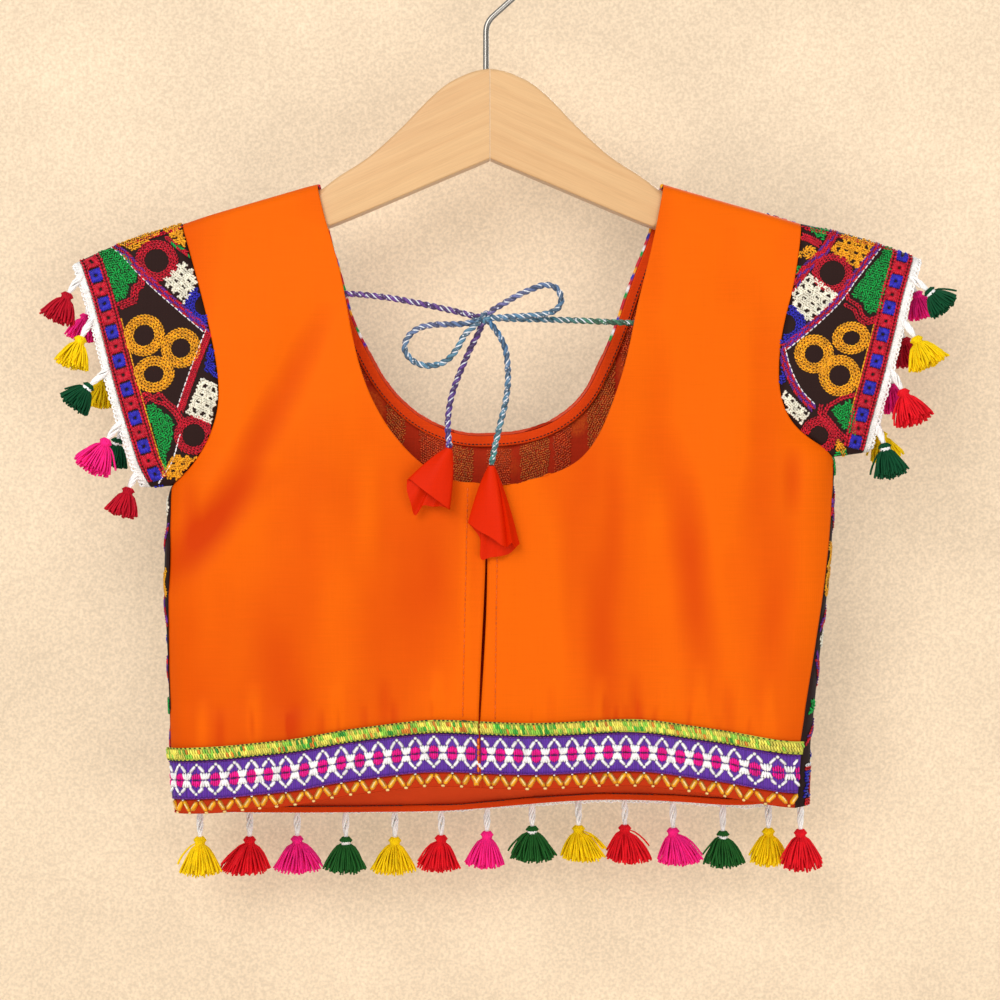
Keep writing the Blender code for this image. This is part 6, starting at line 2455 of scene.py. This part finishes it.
def build_seam_stitches():
    """The machine stitches that hold the placket, the neckline and the hem, a thin line of painted shade
    beside the back neckline's stitches, and the lining's patches.
    """
    needle = Needle(straight_land(["back_left", "back_right"], True), 64, 2.3, 0.45, (0.8, 1.0))
    needle.line([(-11.0, -284.5), (-12.2, -340.0), (-13.4, -397.0)], "orange", 1.3)
    needle.line([(4.2, -286.0), (3.2, -340.0), (2.6, -397.0)], "orange", 1.3)
    for side, _ in SIDES:
        needle.line(offset_route(BACK_NECK[side], -5.2 * side)[::-1], "amber", 1.3)
        # the thin darker line beside the neckline's stitches is the painted shade of their groove
        needle.line(offset_route(BACK_NECK[side], -5.9 * side)[::-1], "dull orange", 1.05, width=0.3)
    facing = Needle(straight_land(["neck_facing"], True), 65, 1.5, 0.5)
    facing.line(offset_route(FRONT_NECK, 4.7), "ground", 1.5)
    turning = Needle(straight_land(["front_lining", "hem_facing"], True), 67, 2.0, 0.5)
    turning.line([(x, looked_up(FRONT_HEM, x) + 3.2) for x in range(-130, 132, 6)], "ground", 1.05, 2.4, 0.4)
    for other in (facing, lining_patches(), turning):
        needle.add(other)
    needle.sewn("seam_stitches", "orange_cloth")


NECK_EDGE_TURN = -212.0  # below this height the facing is rolled over the edge
NECK_EDGE_THREADS = ("crimson", "crimson", "green", "white", "crimson", "blue", "gold")


def build_neck_edge():
    """The front neckline's rolled edge, bound with embroidery thread."""
    land = straight_land(["front"], False)
    route, radii, tints = [], [], []
    chance = random.Random(66)
    rolled = toned(bpy.context.scene.choli_cloth.facing, 0.85)
    for i, (x, z) in enumerate(offset_route(FRONT_NECK, 0.1, 1.6)):
        found = land(x, z) or land(x, z - 1.2)
        if found is None:
            continue
        low = eased(NECK_EDGE_TURN + 6, NECK_EDGE_TURN - 10, z)
        route.append(Vector((x * MM, found[0].y - (0.5 + 0.9 * low) * MM, z * MM)))
        radii.append((chance.uniform(0.95, 1.25) + 0.3 * low) * MM)
        thread = linear(THREAD[NECK_EDGE_THREADS[(i // 2) % len(NECK_EDGE_THREADS)]])
        tints.append(thread if z > NECK_EDGE_TURN else rolled)
    edge = threads("neck_edge_thread", [(route, radii, tints)], thread_material(), 8)
    dressed(edge, "embroidered_cloth")


PICOT_PITCH = 2.3


def picots(name, lines):
    """Crocheted loops along routes of (place, the way that the cloth lies)."""
    mesh = line_mesh(name, [[place for place, _ in line] for line in lines])
    store(mesh, "facing", "FLOAT_VECTOR", [way for line in lines for _, way in line])
    piece = grown(
        name, mesh, picot_tree, Picot=shared(picot_shape), Pitch=PICOT_PITCH * MM,
        Material=yarn_material("white"),
    )
    dressed(piece, "white_lace")


def first_landed(land, places):
    """Where the first of some places that is on cloth lies on it, or none."""
    return next((found for found in (land(*place) for place in places) if found), None)


def build_picots():
    """The loops along the crochet strips' free edges."""
    land = straight_land(["hem_lace"], False)
    line = []
    for x in range(-150, 148, 4):
        low = looked_up(FRONT_HEM, x)
        found = first_landed(land, [(x, low + up) for up in (-1.6, -2.4, -0.8, 0.0, 0.8)])
        if found:
            line.append((found[0] + UP * (lace_tuck(x) * MM), UP))
    picots("hem_lace_loops", [line])
    for side, name in SIDES:
        inward = Vector((SLEEVE_WAYS[side][0][0], 0, SLEEVE_WAYS[side][0][1]))
        plan = sleeve_plan(side)
        lines = []
        for back in (True, False):
            land = straight_land([f"sleeve_lace_{name}"], back)
            line = []
            for depth in range(2, 118 if side < 0 else 100, 3):
                found = first_landed(land, [plan(far, depth) for far in (-2.6, -2.0, -1.4, -0.8, 0.0)])
                if found:
                    line.append((found[0] - found[1] * (0.4 * MM), inward))
            lines.append(line)
        picots(f"sleeve_lace_{name}_loops", lines)


def build_embroidery():
    build_sleeve_stitches()
    build_front_stitches()
    build_ribbon_stitches()
    build_braid_stitches()
    build_seam_stitches()
    build_neck_edge()
    build_picots()


# Operators and the panel that lists them

class CHOLI_OT_stage(bpy.types.Operator):
    """Places the floor, the soft lights, the plain backdrop and the camera."""

    bl_idname = "choli.stage"
    bl_label = "Stage"

    def execute(self, context):
        build_stage()
        return {"FINISHED"}


class CHOLI_OT_latkans(bpy.types.Operator):
    """Folds the two cloth cones on the drawstring's ends."""

    bl_idname = "choli.latkans"
    bl_label = "Latkans"

    def execute(self, context):
        build_latkans()
        return {"FINISHED"}


class CHOLI_OT_drawstring(bpy.types.Operator):
    """Lays the drawstring's runs, loops, tails and knot."""

    bl_idname = "choli.drawstring"
    bl_label = "Drawstring"

    def execute(self, context):
        build_drawstring()
        return {"FINISHED"}


class CHOLI_OT_hanger(bpy.types.Operator):
    """Shapes the wooden arms and the wire hook."""

    bl_idname = "choli.hanger"
    bl_label = "Hanger"

    def execute(self, context):
        build_hanger()
        return {"FINISHED"}


class CHOLI_OT_back(bpy.types.Operator):
    """Hangs the two orange back panels and the rust band under them."""

    bl_idname = "choli.back"
    bl_label = "Back"

    def execute(self, context):
        build_back()
        return {"FINISHED"}


class CHOLI_OT_front(bpy.types.Operator):
    """Hangs the front's dark cloth."""

    bl_idname = "choli.front"
    bl_label = "Front"

    def execute(self, context):
        build_front()
        return {"FINISHED"}


class CHOLI_OT_lining(bpy.types.Operator):
    """Hangs the rust lining and its turned strips."""

    bl_idname = "choli.lining"
    bl_label = "Lining"

    def execute(self, context):
        build_lining()
        return {"FINISHED"}


class CHOLI_OT_sleeves(bpy.types.Operator):
    """Shapes the sleeves' dark cloth."""

    bl_idname = "choli.sleeves"
    bl_label = "Sleeves"

    def execute(self, context):
        build_sleeves()
        return {"FINISHED"}


class CHOLI_OT_trims(bpy.types.Operator):
    """Sews the purple ribbon and the braid round the back."""

    bl_idname = "choli.trims"
    bl_label = "Ribbon and braid"

    def execute(self, context):
        build_ribbon_and_braid()
        return {"FINISHED"}


class CHOLI_OT_lace(bpy.types.Operator):
    """Adds the crocheted edgings."""

    bl_idname = "choli.lace"
    bl_label = "Lace"

    def execute(self, context):
        build_lace()
        return {"FINISHED"}


class CHOLI_OT_embroidery(bpy.types.Operator):
    """Sews the stitches on the sleeves, the front and the trims."""

    bl_idname = "choli.embroidery"
    bl_label = "Embroidery"

    def execute(self, context):
        build_embroidery()
        return {"FINISHED"}


class CHOLI_OT_tassels(bpy.types.Operator):
    """Hangs the yarn tassels from the hem and the sleeves."""

    bl_idname = "choli.tassels"
    bl_label = "Tassels"

    def execute(self, context):
        build_tassels()
        return {"FINISHED"}


class CHOLI_OT_sheets(bpy.types.Operator):
    """Reads through the table of each sheet's flat size and what hangs on it; nothing is kept from it."""

    bl_idname = "choli.sheets"
    bl_label = "Sheets"

    def execute(self, context):
        declare_sheets()
        return {"FINISHED"}


class CHOLI_PT_panel(bpy.types.Panel):
    """Lists the settings and the steps."""

    bl_idname = "CHOLI_PT_panel"
    bl_label = "Choli"
    bl_space_type = "VIEW_3D"
    bl_region_type = "UI"
    bl_category = "Choli"

    def draw(self, context):
        for label, settings in (
            ("Cloth", context.scene.choli_cloth), ("Thread", context.scene.choli_thread),
            ("Hanger", context.scene.choli_hanger), ("Stage", context.scene.choli_stage),
        ):
            box = self.layout.box()
            box.label(text=label)
            for name in settings.__annotations__:
                box.prop(settings, name)
        for operator in STEPS:
            self.layout.operator(operator.bl_idname)


STEPS = (
    CHOLI_OT_stage,
    CHOLI_OT_latkans,
    CHOLI_OT_drawstring,
    CHOLI_OT_hanger,
    CHOLI_OT_back,
    CHOLI_OT_front,
    CHOLI_OT_lining,
    CHOLI_OT_sleeves,
    CHOLI_OT_trims,
    CHOLI_OT_lace,
    CHOLI_OT_embroidery,
    CHOLI_OT_tassels,
    CHOLI_OT_sheets,
)
SETTINGS = (
    ("choli_cloth", ClothSettings),
    ("choli_thread", ThreadSettings),
    ("choli_hanger", HangerSettings),
    ("choli_stage", StageSettings),
)


def register():
    for name, kind in SETTINGS:
        bpy.utils.register_class(kind)
        setattr(bpy.types.Scene, name, PointerProperty(type=kind))
    for kind in (*STEPS, CHOLI_PT_panel):
        bpy.utils.register_class(kind)


def unregister():
    for kind in (CHOLI_PT_panel, *reversed(STEPS)):
        bpy.utils.unregister_class(kind)
    for name, kind in reversed(SETTINGS):
        delattr(bpy.types.Scene, name)
        bpy.utils.unregister_class(kind)


def main():
    register()
    bpy.ops.choli.stage()
    bpy.ops.choli.latkans()
    bpy.ops.choli.drawstring()
    bpy.ops.choli.hanger()
    bpy.ops.choli.back()
    bpy.ops.choli.front()
    bpy.ops.choli.lining()
    bpy.ops.choli.sleeves()
    bpy.ops.choli.trims()
    bpy.ops.choli.lace()
    bpy.ops.choli.embroidery()
    bpy.ops.choli.tassels()
    bpy.ops.choli.sheets()
    clear_helpers()
    boxes = {"cad": FRAME_BOX, "visual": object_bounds()}
    {name: [list(corner) for corner in box] for name, box in boxes.items()}


if __name__ == "__main__":
    main()
